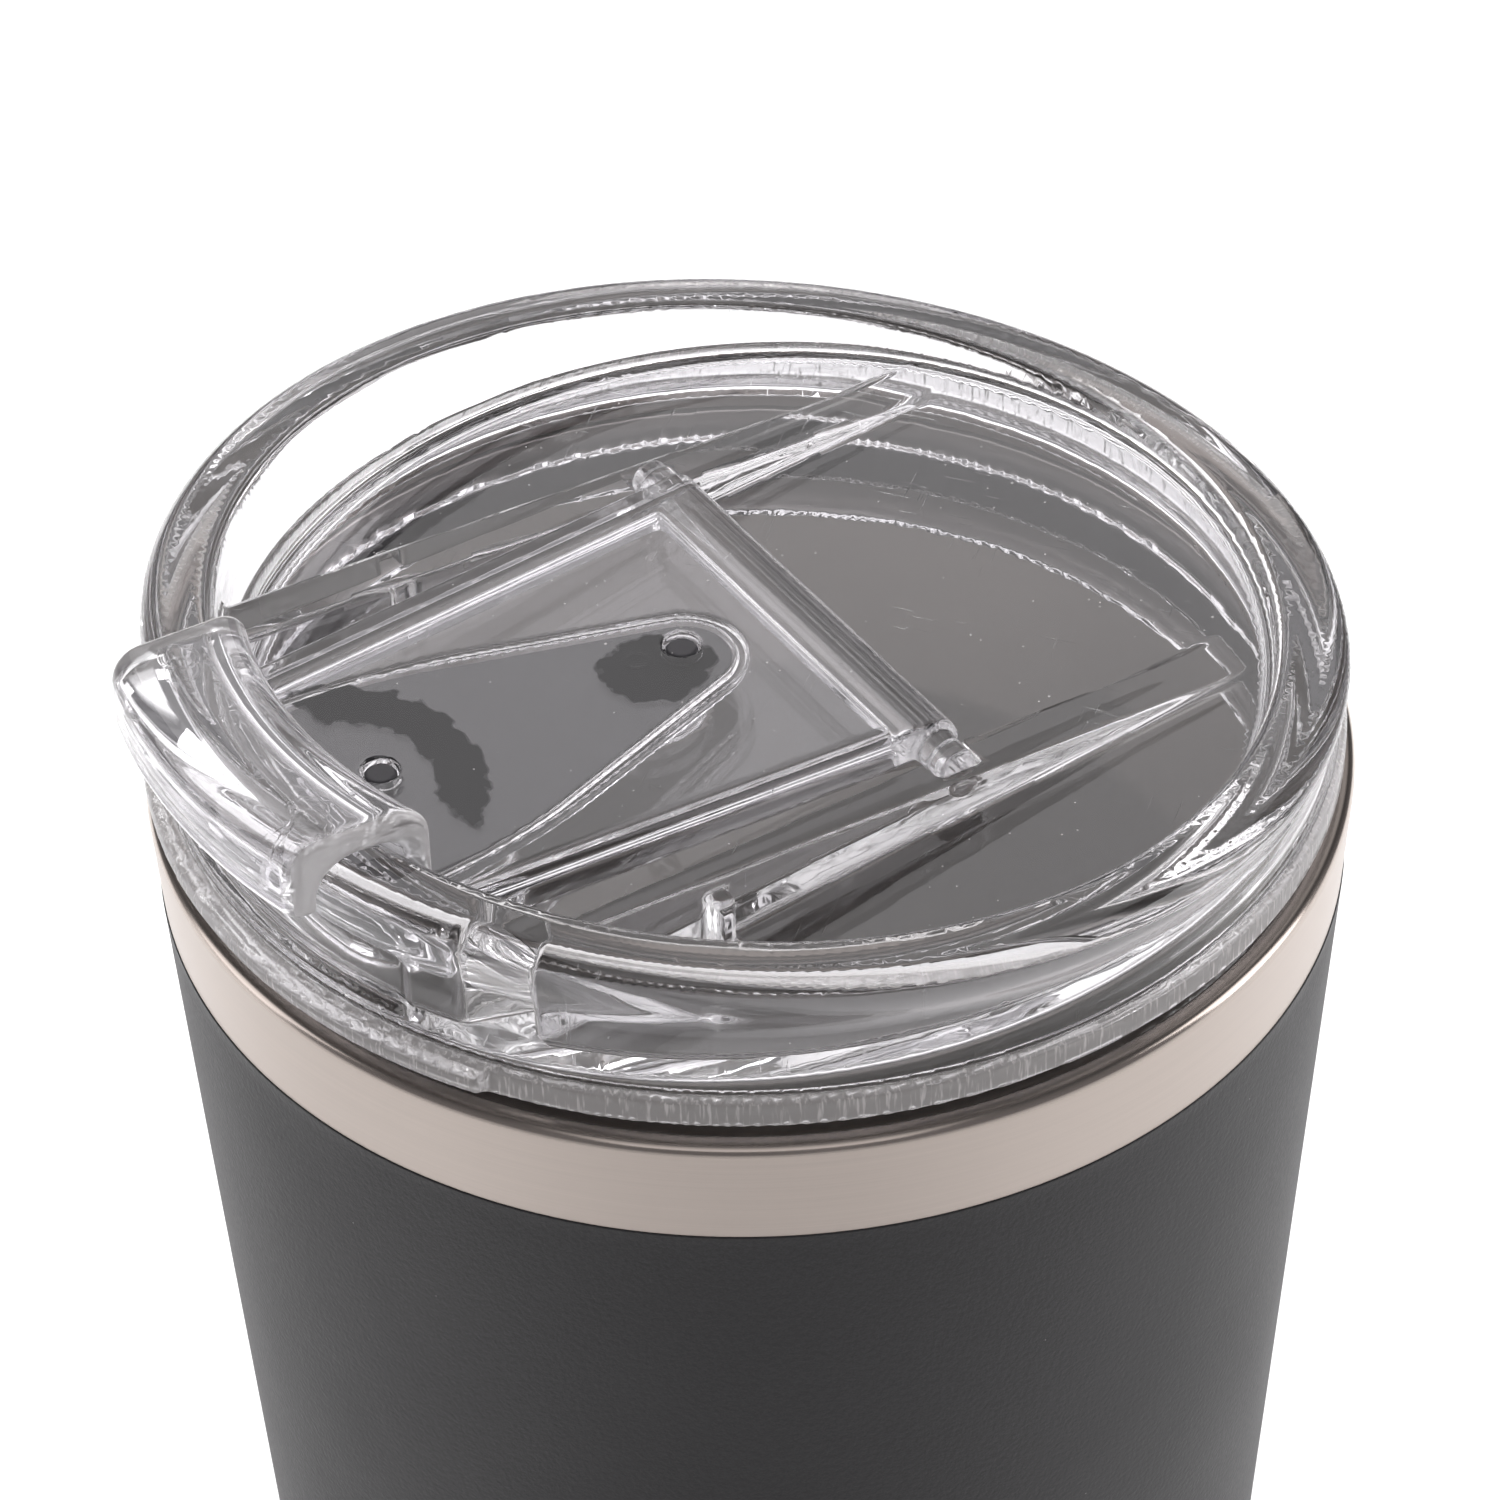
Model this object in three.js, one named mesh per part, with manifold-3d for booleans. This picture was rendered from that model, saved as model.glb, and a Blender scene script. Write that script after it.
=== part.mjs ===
// Insulated tumbler with a clear flip-top lid.
// Millimetres, +Z up. The origin is the centre of the circle that the cup stands on.
// The drinking side of the lid faces -Y, and the lid's flap turns about an axis along X.
import * as THREE from 'three';
import { mergeVertices } from 'three/addons/utils/BufferGeometryUtils.js';
import Module from 'manifold-3d';

// ---- Driving dimensions -------------------------------------------------------------------

// Cup
const cupHeight = 158; // base to the crest of the lip
const mouthRadius = 43.5; // middle of the lip
const lipThickness = 2;
const wallTaper = 0.058; // radius lost per millimetre of height
const shellWall = 0.8;
const linerWall = 0.7;
const vacuumGap = 3.5; // between the two walls, below the neck
const neckGap = 0.5; // between the two walls, at the neck
const neckSpare = 1; // straight stretch of the liner below the lid's plug
const neckBlend = 14; // height over which the gap opens
const footWidth = 5; // foot ring turned in under the shell
const shellCorner = 3; // rounding where the shell meets its foot
const linerCorner = 7;
const linerFloorHeight = 6.5; // underside of the liner above the table
const dimpleRadius = 9; // pocket in the base plate
const dimpleDepth = 1.4;
const sealHoleRadius = 3;
const getterRadius = 5;
const getterThickness = 1.6;
const getterOffset = 20; // from the cup's axis

// Lid, heights counted from the crest of the cup's lip
const lidSeat = 1.3; // underside of the flange
const flangeHeight = 2.4;
const flangeInset = 0.9; // from the lip's outer edge in to the flange's
const waistInset = 0.7; // from the flange's edge in to the waist above it
const shoulderReach = 0.3; // from the flange's edge out to the rim's widest part
const shoulderDrop = 2.3; // from the rim's top down to its widest part
const rimHeight = 12.5; // top of the rim over the cup's axis
const rimInset = 0.5; // from the widest part in to the outer edge of the rim's top
const rimWidth = 5.1; // width of the rim's top
const rimTilt = 0.082; // the rim rises towards the drinking side
const wellInset = 0.2; // from the inner edge of the rim's top in to the foot of its inner wall
const floorHeight = 5.8; // top of the lid's floor over the cup's axis
const floorSlope = 0.065; // the floor falls towards the drinking side
const floorThickness = 1.8;
const plugClearance = 0.4; // between the plug's foot and the liner
const plugWall = 2;
const plugDepth = 11.5; // below the crest of the lip
const grooveDepth = 1.2;
const grooveWidth = 4;
const grooveTop = -4; // height of the groove's upper face
const gasketClearance = 0.2; // between the gasket's fins and the liner
const ribInner = 18.1; // half the width of the channel between the ribs
const ribThickness = 4.2;
const ribOverHinge = 0.5; // from the hinge's height up to the ribs' over the cup's axis
const ribSlope = 0.055; // the ribs rise towards the drinking side
const gussetWidth = 1.6;
const gussetReach = 1.5;
const gussetY = -17;
const drinkInset = 7.1; // from the rim's inner wall in to the middle of the drinking hole
const drinkWidth = 7;
const drinkHalf = 6.159; // half the hole's length, to the centres of its round ends
const bossWall = 2.4; // raised land round the drinking hole
const ventY = -8.6;
const ventRadius = 1;
const ventBossRadius = 4.2;
const reliefSpread = 0.43; // half the arc of the finger recess, in radians
const reliefDepth = 1.8;
const reliefRise = 1.3; // from the flange up to the recess
const reliefDrop = 0.2; // from the rim's widest part down to the recess
const ledgeSpread = 0.58; // half the arc of the ledge below the recess
const ledgeReach = 0.8;

// Flap
const hingeY = 4.4;
const barrelRadius = 2.1;
const barrelClearance = 0.414; // between the flap's rear edge and the lid's floor
const pinRadius = 1.5;
const pinReach = 2.6; // how far a pin enters its rib
const pinClearance = 0.3;
const flapSideClearance = 0.4; // to the ribs, at the hinge
const flapThickness = 1.9;
const flapSkirtDepth = 4.1; // full height of the flap's turned-down sides
const flapSkirtWall = 2;
const flapFrontMargin = 1.2; // from the wall round the seal out to the flap's side, at the hook
const hookArch = 2.4; // thickness over the rim
const archClearance = 0.56; // between the hook and the rim's top
const hookWall = 1.7; // inside the rim
const hookInset = 0.6; // each side, from the flap's width to the hook's
const hookNarrowing = 1.4; // each side, from the hook's inner face to its outer face
const hookClearance = 0.3; // between the flap or its hook and the rim
const hookLegDrop = 6.6; // from the hook's crown down to the end of its leg
const hookLegWall = 2.2; // outside the rim
const sealThickness = 1.2;
const sealTailRadius = 3.7;
const sealTailPast = 3; // from the vent back to the centre of the seal's narrow end
const sealMargin = 0.94; // seal beyond the ends of the drinking hole
const sealHeadInset = 4.5; // from the middle of the drinking hole in to the seal's widest place
const sealInset = 0.7; // between the seal's front and the hook
const fenceWall = 0.7; // clear wall round the seal, under the flap
const fenceClearance = 0.3; // between that wall and the seal
const studRadius = 1.2;
const studClearance = 0.2;
const studInset = 4.8; // from the seal's front in to the front stud

const gap = 0.3; // between pieces that touch
const around = 48; // facets round the cup
const arcSteps = 3; // facets in a small rounding

// ---- Values worked out from them ----------------------------------------------------------

const lipOuter = mouthRadius + lipThickness / 2;
const lipInner = mouthRadius - lipThickness / 2;
const shellOuterAt = (z) => lipOuter - wallTaper * (cupHeight - z);
const baseRadius = shellOuterAt(0);
const neckInnerAt = (z) => shellOuterAt(z) - shellWall - neckGap - linerWall;
const neckInnerBelowLip = (drop) => neckInnerAt(cupHeight + drop);
const plugRadius = neckInnerBelowLip(-plugDepth) - plugClearance;
const rimSlopeStart = lidSeat + flangeHeight;
const flangeRadius = lipOuter - flangeInset;
const waistRadius = flangeRadius - waistInset;
const shoulderRadius = flangeRadius + shoulderReach;
const shoulderHeight = rimHeight - shoulderDrop;
const rimOuterRadius = shoulderRadius - rimInset;
const rimInnerRadius = rimOuterRadius - rimWidth;
const wellRadius = rimInnerRadius - wellInset;
const drinkRadius = wellRadius - drinkInset;
const drinkSpread = Math.asin(drinkHalf / drinkRadius); // half the hole's arc, in radians
const hingeHeight = floorHeight + floorSlope * hingeY + barrelClearance + barrelRadius;
const ribHeight = hingeHeight + ribOverHinge;
const flapBottom = hingeHeight + barrelRadius - flapSkirtDepth;
const flapTop = hingeHeight + barrelRadius;
const plateBottom = flapTop - flapThickness;
const flapHingeHalf = ribInner - flapSideClearance;
const hookOuter = shoulderRadius + hookClearance + hookLegWall;
const hookInner = wellRadius - hookClearance - hookWall;
const hookTop = rimHeight + rimTilt * rimInnerRadius + archClearance + hookArch;
const sealTop = plateBottom - gap;
const sealBottom = sealTop - sealThickness;
const bossHeight = sealBottom - gap;
const sealTailY = ventY + sealTailPast;
const sealHeadY = sealHeadInset - drinkRadius;
const sealHeadHalf = drinkHalf + drinkWidth / 2 + sealMargin;
const sealFrontRadius = hookInner - sealInset;
const flapFrontHalf = sealHeadHalf + fenceClearance + fenceWall + flapFrontMargin + flapSkirtWall;
const hookInnerHalf = flapFrontHalf - hookInset;
const hookOuterHalf = hookInnerHalf - hookNarrowing;
const studPositions = [sealTailY, studInset - sealFrontRadius]; // along Y

// ---- Solids -------------------------------------------------------------------------------

const wasm = await Module();
wasm.setup();

// A closed outline from corners [x, y, radius], each corner rounded by its radius.
function outline(corners) {
  const points = [];
  corners.forEach(([x, y, radius = 0], i) => {
    const at = new THREE.Vector2(x, y);
    if (radius === 0) {
      points.push(at);
      return;
    }
    const [px, py] = corners.at(i - 1);
    const [nx, ny] = corners[(i + 1) % corners.length];
    const toPrevious = new THREE.Vector2(px, py).sub(at).normalize();
    const toNext = new THREE.Vector2(nx, ny).sub(at).normalize();
    const half = Math.acos(toPrevious.dot(toNext)) / 2;
    const back = radius / Math.tan(half);
    const curve = new THREE.QuadraticBezierCurve(
      at.clone().addScaledVector(toPrevious, back),
      at,
      at.clone().addScaledVector(toNext, back),
    );
    points.push(...curve.getPoints(arcSteps));
  });
  return points;
}

// Turns an outline of [radius, height] about Z. The outline runs counterclockwise or clockwise.
function turned(points, facets = around) {
  const closed = points[0].x === 0 && points.at(-1).x === 0 ? points : [...points, points[0]];
  const area = THREE.ShapeUtils.area(points);
  const profile = area > 0 ? closed : [...closed].reverse();
  return new THREE.LatheGeometry(profile, facets).rotateX(Math.PI / 2);
}

// A plate with the given outline in X and Y, from height low to height high.
function plate(points, low, high) {
  const shape = new THREE.Shape(points);
  return new THREE.ExtrudeGeometry(shape, { depth: high - low, bevelEnabled: false }).translate(0, 0, low);
}

// A bar with the given outline in Y and Z, from x = left to x = right.
function bar(points, left, right) {
  const shape = new THREE.Shape(points);
  const geometry = new THREE.ExtrudeGeometry(shape, { depth: right - left, bevelEnabled: false });
  return geometry.rotateX(Math.PI / 2).rotateZ(Math.PI / 2).translate(left, 0, 0);
}

// A pin along X, centred at y and z.
function pinAlongX(radius, left, right, y, z, facets = 24) {
  const pin = new THREE.CylinderGeometry(radius, radius, right - left, facets);
  return pin.rotateZ(Math.PI / 2).translate((left + right) / 2, y, z);
}

// A post along Z.
function post(radius, low, high, x, y, facets = 24) {
  const cylinder = new THREE.CylinderGeometry(radius, radius, high - low, facets);
  return cylinder.rotateX(Math.PI / 2).translate(x, y, (low + high) / 2);
}

// Raises each vertex by amount(x, y, z).
function raised(geometry, amount) {
  const position = geometry.attributes.position;
  for (let i = 0; i < position.count; i += 1) {
    const x = position.getX(i);
    const y = position.getY(i);
    const z = position.getZ(i);
    position.setZ(i, z + amount(x, y, z));
  }
  return geometry;
}

function solid(geometry) {
  const bare = geometry.clone();
  bare.deleteAttribute('normal');
  bare.deleteAttribute('uv');
  const merged = mergeVertices(bare, 1e-4);
  const mesh = new wasm.Mesh({
    numProp: 3,
    vertProperties: new Float32Array(merged.attributes.position.array),
    triVerts: new Uint32Array(merged.index.array),
  });
  return new wasm.Manifold(mesh);
}

function geometryOf(manifold) {
  const mesh = manifold.getMesh();
  const geometry = new THREE.BufferGeometry();
  geometry.setAttribute('position', new THREE.BufferAttribute(mesh.vertProperties, 3));
  geometry.setIndex(new THREE.BufferAttribute(mesh.triVerts, 1));
  return geometry;
}

const joined = (...geometries) => geometries.map(solid).reduce((all, next) => all.add(next));

// An arc-shaped slot round the cup's axis on the drinking side, with round ends.
function arcSlot(middle, width, spread, grow = 0) {
  const shape = new THREE.Shape();
  const half = width / 2 + grow;
  const front = -Math.PI / 2;
  const endCentre = (side) => [
    middle * Math.cos(front + side * spread),
    middle * Math.sin(front + side * spread),
  ];
  shape.absarc(0, 0, middle + half, front - spread, front + spread, false);
  shape.absarc(...endCentre(1), half, front + spread, front + spread + Math.PI, false);
  shape.absarc(0, 0, middle - half, front + spread, front - spread, true);
  shape.absarc(...endCentre(-1), half, front - spread + Math.PI, front - spread + 2 * Math.PI, false);
  return shape.getPoints(8).filter((point, i, all) => i === 0 || point.distanceTo(all[i - 1]) > 1e-3);
}

// A wedge of space on the drinking side, for keeping or cutting a stretch of a ring.
function frontWedge(spread, low, high) {
  const reach = 2 * shoulderRadius;
  const side = reach * Math.tan(spread);
  return plate(outline([[0, 0], [-side, -reach], [side, -reach]]), low, high);
}

// ---- Cup ----------------------------------------------------------------------------------

// Shell: the outer wall, its rounded lip and the foot turned in under it.
function outerShell() {
  const inner = (z) => shellOuterAt(z) - shellWall;
  const neck = cupHeight - lipThickness;
  return turned(outline([
    [baseRadius - footWidth, 0],
    [baseRadius, 0, shellCorner * 0.7],
    [lipOuter, cupHeight, lipThickness * 0.45],
    [lipInner, cupHeight, lipThickness * 0.45],
    [lipInner, neck],
    [inner(neck), neck],
    [inner(shellWall), shellWall, (shellCorner - shellWall) * 0.7],
    [baseRadius - footWidth, shellWall],
  ]));
}

// Liner: the inner wall and floor, hung from the lip and clear of the shell.
function innerLiner() {
  const top = cupHeight - lipThickness - gap;
  const neckBottom = cupHeight - plugDepth - neckSpare;
  const blendBottom = neckBottom - neckBlend;
  const outer = (z, space) => shellOuterAt(z) - shellWall - space;
  const bottomOuter = outer(linerFloorHeight, vacuumGap);
  const floorTop = linerFloorHeight + linerWall;
  return turned(outline([
    [0, linerFloorHeight],
    [bottomOuter, linerFloorHeight, linerCorner],
    [outer(blendBottom, vacuumGap), blendBottom, neckBlend / 2],
    [outer(neckBottom, neckGap), neckBottom, neckBlend / 3],
    [outer(top, neckGap), top],
    [outer(top, neckGap) - linerWall, top],
    [outer(neckBottom, neckGap) - linerWall, neckBottom, neckBlend / 3],
    [outer(blendBottom, vacuumGap) - linerWall, blendBottom, neckBlend / 2],
    [bottomOuter - linerWall, floorTop, linerCorner - linerWall],
    [0, floorTop],
  ]));
}

// Base plate: closes the shell above its foot. Its pocket holds the bead that seals the vacuum.
function basePlate() {
  const low = shellWall + gap;
  const high = low + shellWall;
  const edge = baseRadius - shellCorner;
  return turned(outline([
    [sealHoleRadius, low + dimpleDepth],
    [dimpleRadius - dimpleDepth, low + dimpleDepth],
    [dimpleRadius, low],
    [edge, low],
    [edge, high],
    [dimpleRadius, high],
    [dimpleRadius - dimpleDepth, high + dimpleDepth],
    [sealHoleRadius, high + dimpleDepth],
  ]));
}

function sealBead() {
  const middle = shellWall + gap + dimpleDepth + shellWall / 2;
  const radius = sealHoleRadius - gap;
  const crown = shellWall * 0.75;
  return turned([
    new THREE.Vector2(0, middle - crown),
    new THREE.Vector2(radius * 0.7, middle - crown * 0.7),
    new THREE.Vector2(radius, middle),
    new THREE.Vector2(radius * 0.7, middle + crown * 0.7),
    new THREE.Vector2(0, middle + crown),
  ], 24);
}

function getterPill() {
  const low = shellWall + gap + shellWall + gap;
  return post(getterRadius, low, low + getterThickness, getterOffset, 0);
}

// ---- Lid ----------------------------------------------------------------------------------

// How far the rim is raised at y: nothing at the flange, all of it at the rim's top.
function rimLift(y, z) {
  const share = THREE.MathUtils.clamp((z - rimSlopeStart) / (rimHeight - rimSlopeStart), 0, 1);
  return -rimTilt * y * share;
}

function lidRing() {
  const flangeTop = lidSeat + flangeHeight;
  const grooveBottom = grooveTop - grooveWidth;
  return raised(turned(outline([
    [plugRadius - plugWall, -plugDepth],
    [plugRadius, -plugDepth],
    [plugRadius, grooveBottom],
    [plugRadius - grooveDepth, grooveBottom],
    [plugRadius - grooveDepth, grooveTop],
    [plugRadius, grooveTop],
    [plugRadius, lidSeat],
    [flangeRadius, lidSeat],
    [flangeRadius, flangeTop],
    [waistRadius, flangeTop],
    [waistRadius, shoulderHeight - 1.4],
    [shoulderRadius, shoulderHeight],
    [rimOuterRadius, rimHeight, 1.2],
    [rimInnerRadius, rimHeight, 0.9],
    [wellRadius, lidSeat],
    [plugRadius - plugWall, lidSeat - plugWall],
  ])), (x, y, z) => rimLift(y, z));
}

function lidFloor() {
  const disc = post(wellRadius + 1, floorHeight - floorThickness, floorHeight, 0, 0, around);
  return raised(disc, (x, y) => floorSlope * y);
}

// Ribs: two walls that make the flap's channel. They die out into the floor behind the hinge.
function rib(side) {
  const end = wellRadius - 3;
  const root = (y) => floorHeight + floorSlope * y - floorThickness / 2;
  const top = (y) => Math.max(ribHeight - ribSlope * y, root(y) + floorThickness / 4);
  const meet = (ribHeight - floorHeight) / (ribSlope + floorSlope);
  const points = [[-end, root(-end)], [meet, root(meet)], [meet, top(meet)], [-end, top(-end)]];
  const inner = side * ribInner;
  const outer = side * (ribInner + ribThickness);
  return bar(outline(points), Math.min(inner, outer), Math.max(inner, outer));
}

function gusset(side) {
  const inner = side * (ribInner + ribThickness - 1);
  const outer = side * (ribInner + ribThickness + gussetReach);
  const low = floorHeight + floorSlope * gussetY - floorThickness / 2;
  const high = ribHeight - ribSlope * gussetY - 1;
  const half = gussetWidth / 2;
  const points = [
    [gussetY - half, low],
    [gussetY + half, low],
    [gussetY + half, high],
    [gussetY - half, high],
  ];
  return bar(outline(points), Math.min(inner, outer), Math.max(inner, outer));
}

// Slots in the tops of the ribs that take the flap's pins.
function pinSlot(side) {
  const inner = side * (ribInner - 1);
  const outer = side * (ribInner + pinReach + pinClearance);
  const left = Math.min(inner, outer);
  const right = Math.max(inner, outer);
  const radius = pinRadius + pinClearance;
  const top = hingeHeight + barrelRadius + 1;
  const mouth = bar(outline([
    [hingeY - radius, hingeHeight],
    [hingeY + radius, hingeHeight],
    [hingeY + radius, top],
    [hingeY - radius, top],
  ]), left, right);
  return joined(pinAlongX(radius, left, right, hingeY, hingeHeight), mouth);
}

function fingerRecess() {
  const ring = turned(outline([
    [shoulderRadius - reliefDepth, rimSlopeStart + reliefRise],
    [shoulderRadius + 5, rimSlopeStart + reliefRise],
    [shoulderRadius + 5, shoulderHeight - reliefDrop],
    [shoulderRadius - reliefDepth, shoulderHeight - reliefDrop],
  ]));
  return solid(ring).intersect(solid(frontWedge(reliefSpread, 0, cupHeight)));
}

function thumbLedge() {
  const high = lidSeat + flangeHeight * 0.85;
  const ring = turned(outline([
    [flangeRadius - 1, lidSeat + 0.2],
    [flangeRadius + ledgeReach, lidSeat + 0.2],
    [flangeRadius + ledgeReach, high],
    [flangeRadius - 1, high],
  ]));
  return solid(ring).intersect(solid(frontWedge(ledgeSpread, 0, cupHeight)));
}

function lidBody() {
  const bossRoot = floorHeight - floorSlope * (drinkRadius + drinkWidth) - floorThickness / 2;
  const ventRoot = floorHeight + floorSlope * (ventY - ventBossRadius) - floorThickness / 2;
  const through = [floorHeight - 3 * floorThickness - floorSlope * wellRadius, bossHeight + 1];
  return joined(
    lidRing(),
    lidFloor(),
    rib(-1),
    rib(1),
    gusset(-1),
    gusset(1),
    plate(arcSlot(drinkRadius, drinkWidth, drinkSpread, bossWall), bossRoot, bossHeight),
    post(ventBossRadius, ventRoot, bossHeight, 0, ventY),
  )
    .add(thumbLedge())
    .subtract(solid(plate(arcSlot(drinkRadius, drinkWidth, drinkSpread), ...through)))
    .subtract(solid(post(ventRadius, ...through, 0, ventY)))
    .subtract(pinSlot(-1))
    .subtract(pinSlot(1))
    .subtract(fingerRecess());
}

// Gasket: a soft ring in the plug's groove, with two wiping fins.
function lidGasket() {
  const low = grooveTop - grooveWidth + gap / 2;
  const high = grooveTop - gap / 2;
  const back = plugRadius - grooveDepth + gap / 2;
  const web = plugRadius - gap / 2;
  const fin = neckInnerBelowLip(low) - gasketClearance;
  const finHeight = (high - low) / 3;
  return turned(outline([
    [back, low],
    [fin, low],
    [fin, low + finHeight],
    [web, low + finHeight],
    [web, high - finHeight],
    [fin, high - finHeight],
    [fin, high],
    [back, high],
  ]));
}

// ---- Flap ---------------------------------------------------------------------------------

// The flap narrows from the hinge to the hook.
function flapHalfAt(y) {
  const share = (hingeY - y) / (hingeY + hookInner);
  return THREE.MathUtils.lerp(flapHingeHalf, flapFrontHalf, share);
}

function flapOutline(inset, rear, front) {
  const rearHalf = flapHalfAt(rear) - inset;
  const frontHalf = flapHalfAt(front) - inset;
  return outline([
    [-rearHalf, rear],
    [-frontHalf, front],
    [frontHalf, front],
    [rearHalf, rear],
  ]);
}

// Hook: an arch that follows the rim, over its top and down its outside.
function rimHook() {
  const arch = hookTop - hookArch;
  const section = raised(turned(outline([
    [hookInner, plateBottom],
    [hookInner + hookWall, plateBottom],
    [hookInner + hookWall, arch, 1.1],
    [shoulderRadius + hookClearance, arch, 1.7],
    [shoulderRadius + hookClearance, hookTop - hookLegDrop],
    [hookOuter, hookTop - hookLegDrop, 0.8],
    [hookOuter, hookTop, 2],
    [hookInner, hookTop, 1.9],
  ])), (x, y, z) => (z > flapTop ? rimTilt * (-y - rimInnerRadius) : 0));
  const side = plate(outline([
    [-hookInnerHalf, -hookInner / 2],
    [-hookOuterHalf, -hookOuter - 1],
    [hookOuterHalf, -hookOuter - 1],
    [hookInnerHalf, -hookInner / 2],
  ]), 0, 2 * hookTop);
  return solid(section).intersect(solid(side));
}

function flapBody() {
  const front = -hookInner - hookWall / 2;
  const rim = post(hookInner + hookWall, 0, flapTop, 0, 0, around);
  const slab = solid(plate(flapOutline(0, hingeY, front - 2), flapBottom, flapTop)).intersect(solid(rim));
  const pocket = solid(plate(flapOutline(flapSkirtWall, hingeY - barrelRadius, front - 5), flapBottom - 1, plateBottom));
  const barrel = pinAlongX(barrelRadius, -flapHingeHalf, flapHingeHalf, hingeY, hingeHeight);
  const pins = pinAlongX(pinRadius, -ribInner - pinReach, ribInner + pinReach, hingeY, hingeHeight);
  const studHoles = studPositions.map((y) => post(studRadius + studClearance, plateBottom - 1, flapTop + 1, 0, y));
  return studHoles.reduce(
    (body, hole) => body.subtract(solid(hole)),
    slab.subtract(pocket).add(sealFence()).add(solid(barrel)).add(solid(pins)).add(rimHook()),
  );
}

// The seal's outline, wide over the drinking hole and narrow over the vent, grown by an even margin.
function sealOutline(grow = 0) {
  const shape = new THREE.Shape();
  const spread = Math.atan2(sealHeadHalf - sealTailRadius, sealTailY - sealHeadY);
  const half = sealHeadHalf + grow;
  const front = sealFrontRadius + grow;
  const frontSpread = Math.asin(sealHeadHalf / sealFrontRadius) * 0.8;
  shape.absarc(0, sealTailY, sealTailRadius + grow, -spread, Math.PI + spread, false);
  shape.lineTo(-half, sealHeadY);
  shape.absarc(0, 0, front, -Math.PI / 2 - frontSpread, -Math.PI / 2 + frontSpread, false);
  shape.lineTo(half, sealHeadY);
  return shape.getPoints(10);
}

// Seal: a soft pad under the flap, held by two studs.
function flapSeal() {
  const pad = plate(sealOutline(), sealBottom, sealTop);
  const studs = studPositions.map((y) => post(studRadius, sealTop - sealThickness / 2, flapTop - gap, 0, y));
  return joined(pad, ...studs);
}

// Fence: the clear wall under the flap that keeps the seal in its place.
function sealFence() {
  const outer = solid(plate(sealOutline(fenceClearance + fenceWall), sealBottom + 0.2, plateBottom + 0.3));
  const inner = solid(plate(sealOutline(fenceClearance), sealBottom - 1, plateBottom + 1));
  const within = solid(post(hookInner, 0, flapTop, 0, 0, around));
  return outer.subtract(inner).intersect(within);
}

// ---- Assembly -----------------------------------------------------------------------------

const finishes = {
  coat: new THREE.MeshStandardMaterial({ color: 0x35343a, roughness: 0.62, metalness: 0.1 }),
  steel: new THREE.MeshStandardMaterial({ color: 0xb9b3ab, roughness: 0.32, metalness: 1 }),
  glaze: new THREE.MeshStandardMaterial({ color: 0x8d8a86, roughness: 0.3, metalness: 0.4 }),
  getter: new THREE.MeshStandardMaterial({ color: 0x6d6a66, roughness: 0.7, metalness: 0.8 }),
  clear: new THREE.MeshStandardMaterial({ color: 0xe9edf0, roughness: 0.05, metalness: 0 }),
  darkSilicone: new THREE.MeshStandardMaterial({ color: 0x26252a, roughness: 0.4, metalness: 0 }),
};

const tumbler = new THREE.Group();

function place(name, shape, finish, height = 0) {
  const geometry = shape instanceof THREE.BufferGeometry ? geometryOf(solid(shape)) : geometryOf(shape);
  const mesh = new THREE.Mesh(geometry, finishes[finish]);
  mesh.name = name;
  mesh.position.z = height;
  tumbler.add(mesh);
}

place('outer_shell', outerShell(), 'coat');
place('inner_liner', innerLiner(), 'steel');
place('base_plate', basePlate(), 'steel');
place('vacuum_seal_bead', sealBead(), 'glaze');
place('getter_pill', getterPill(), 'getter');
place('lid_body', lidBody(), 'clear', cupHeight);
place('lid_gasket', lidGasket(), 'darkSilicone', cupHeight);
place('flap', flapBody(), 'clear', cupHeight);
place('flap_seal', flapSeal(), 'darkSilicone', cupHeight);

export default tumbler;
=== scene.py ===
"""Insulated tumbler with a clear flip-top lid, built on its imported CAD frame.

Shapes are worked out in millimetres, with heights counted from the table for the cup and from the crest
of the cup's lip for the lid and flap. They become meshes in metres.
"""
import math

import bpy
import numpy as np
from mathutils import Matrix, Vector


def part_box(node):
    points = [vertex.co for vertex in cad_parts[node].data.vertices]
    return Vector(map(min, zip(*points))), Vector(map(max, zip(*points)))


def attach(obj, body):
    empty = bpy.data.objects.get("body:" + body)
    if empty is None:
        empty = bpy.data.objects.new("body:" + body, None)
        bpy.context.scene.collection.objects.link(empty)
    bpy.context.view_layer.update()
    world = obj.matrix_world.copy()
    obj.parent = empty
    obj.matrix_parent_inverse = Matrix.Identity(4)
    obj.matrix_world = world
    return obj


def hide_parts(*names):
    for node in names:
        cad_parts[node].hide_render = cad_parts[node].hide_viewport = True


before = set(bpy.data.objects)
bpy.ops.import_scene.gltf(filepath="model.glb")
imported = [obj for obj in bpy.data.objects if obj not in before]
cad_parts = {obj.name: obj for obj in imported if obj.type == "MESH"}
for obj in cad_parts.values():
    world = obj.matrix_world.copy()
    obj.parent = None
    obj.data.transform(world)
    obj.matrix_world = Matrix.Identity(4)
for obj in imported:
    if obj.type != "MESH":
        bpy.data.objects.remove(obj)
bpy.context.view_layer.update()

bl_info = {
    "name": "Insulated tumbler",
    "version": (1, 0, 0),
    "blender": (4, 5, 0),
    "location": "3D View > Sidebar > Tumbler",
    "description": "Builds an insulated tumbler with a clear flip-top lid on its CAD frame",
    "category": "Add Mesh",
}

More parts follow.
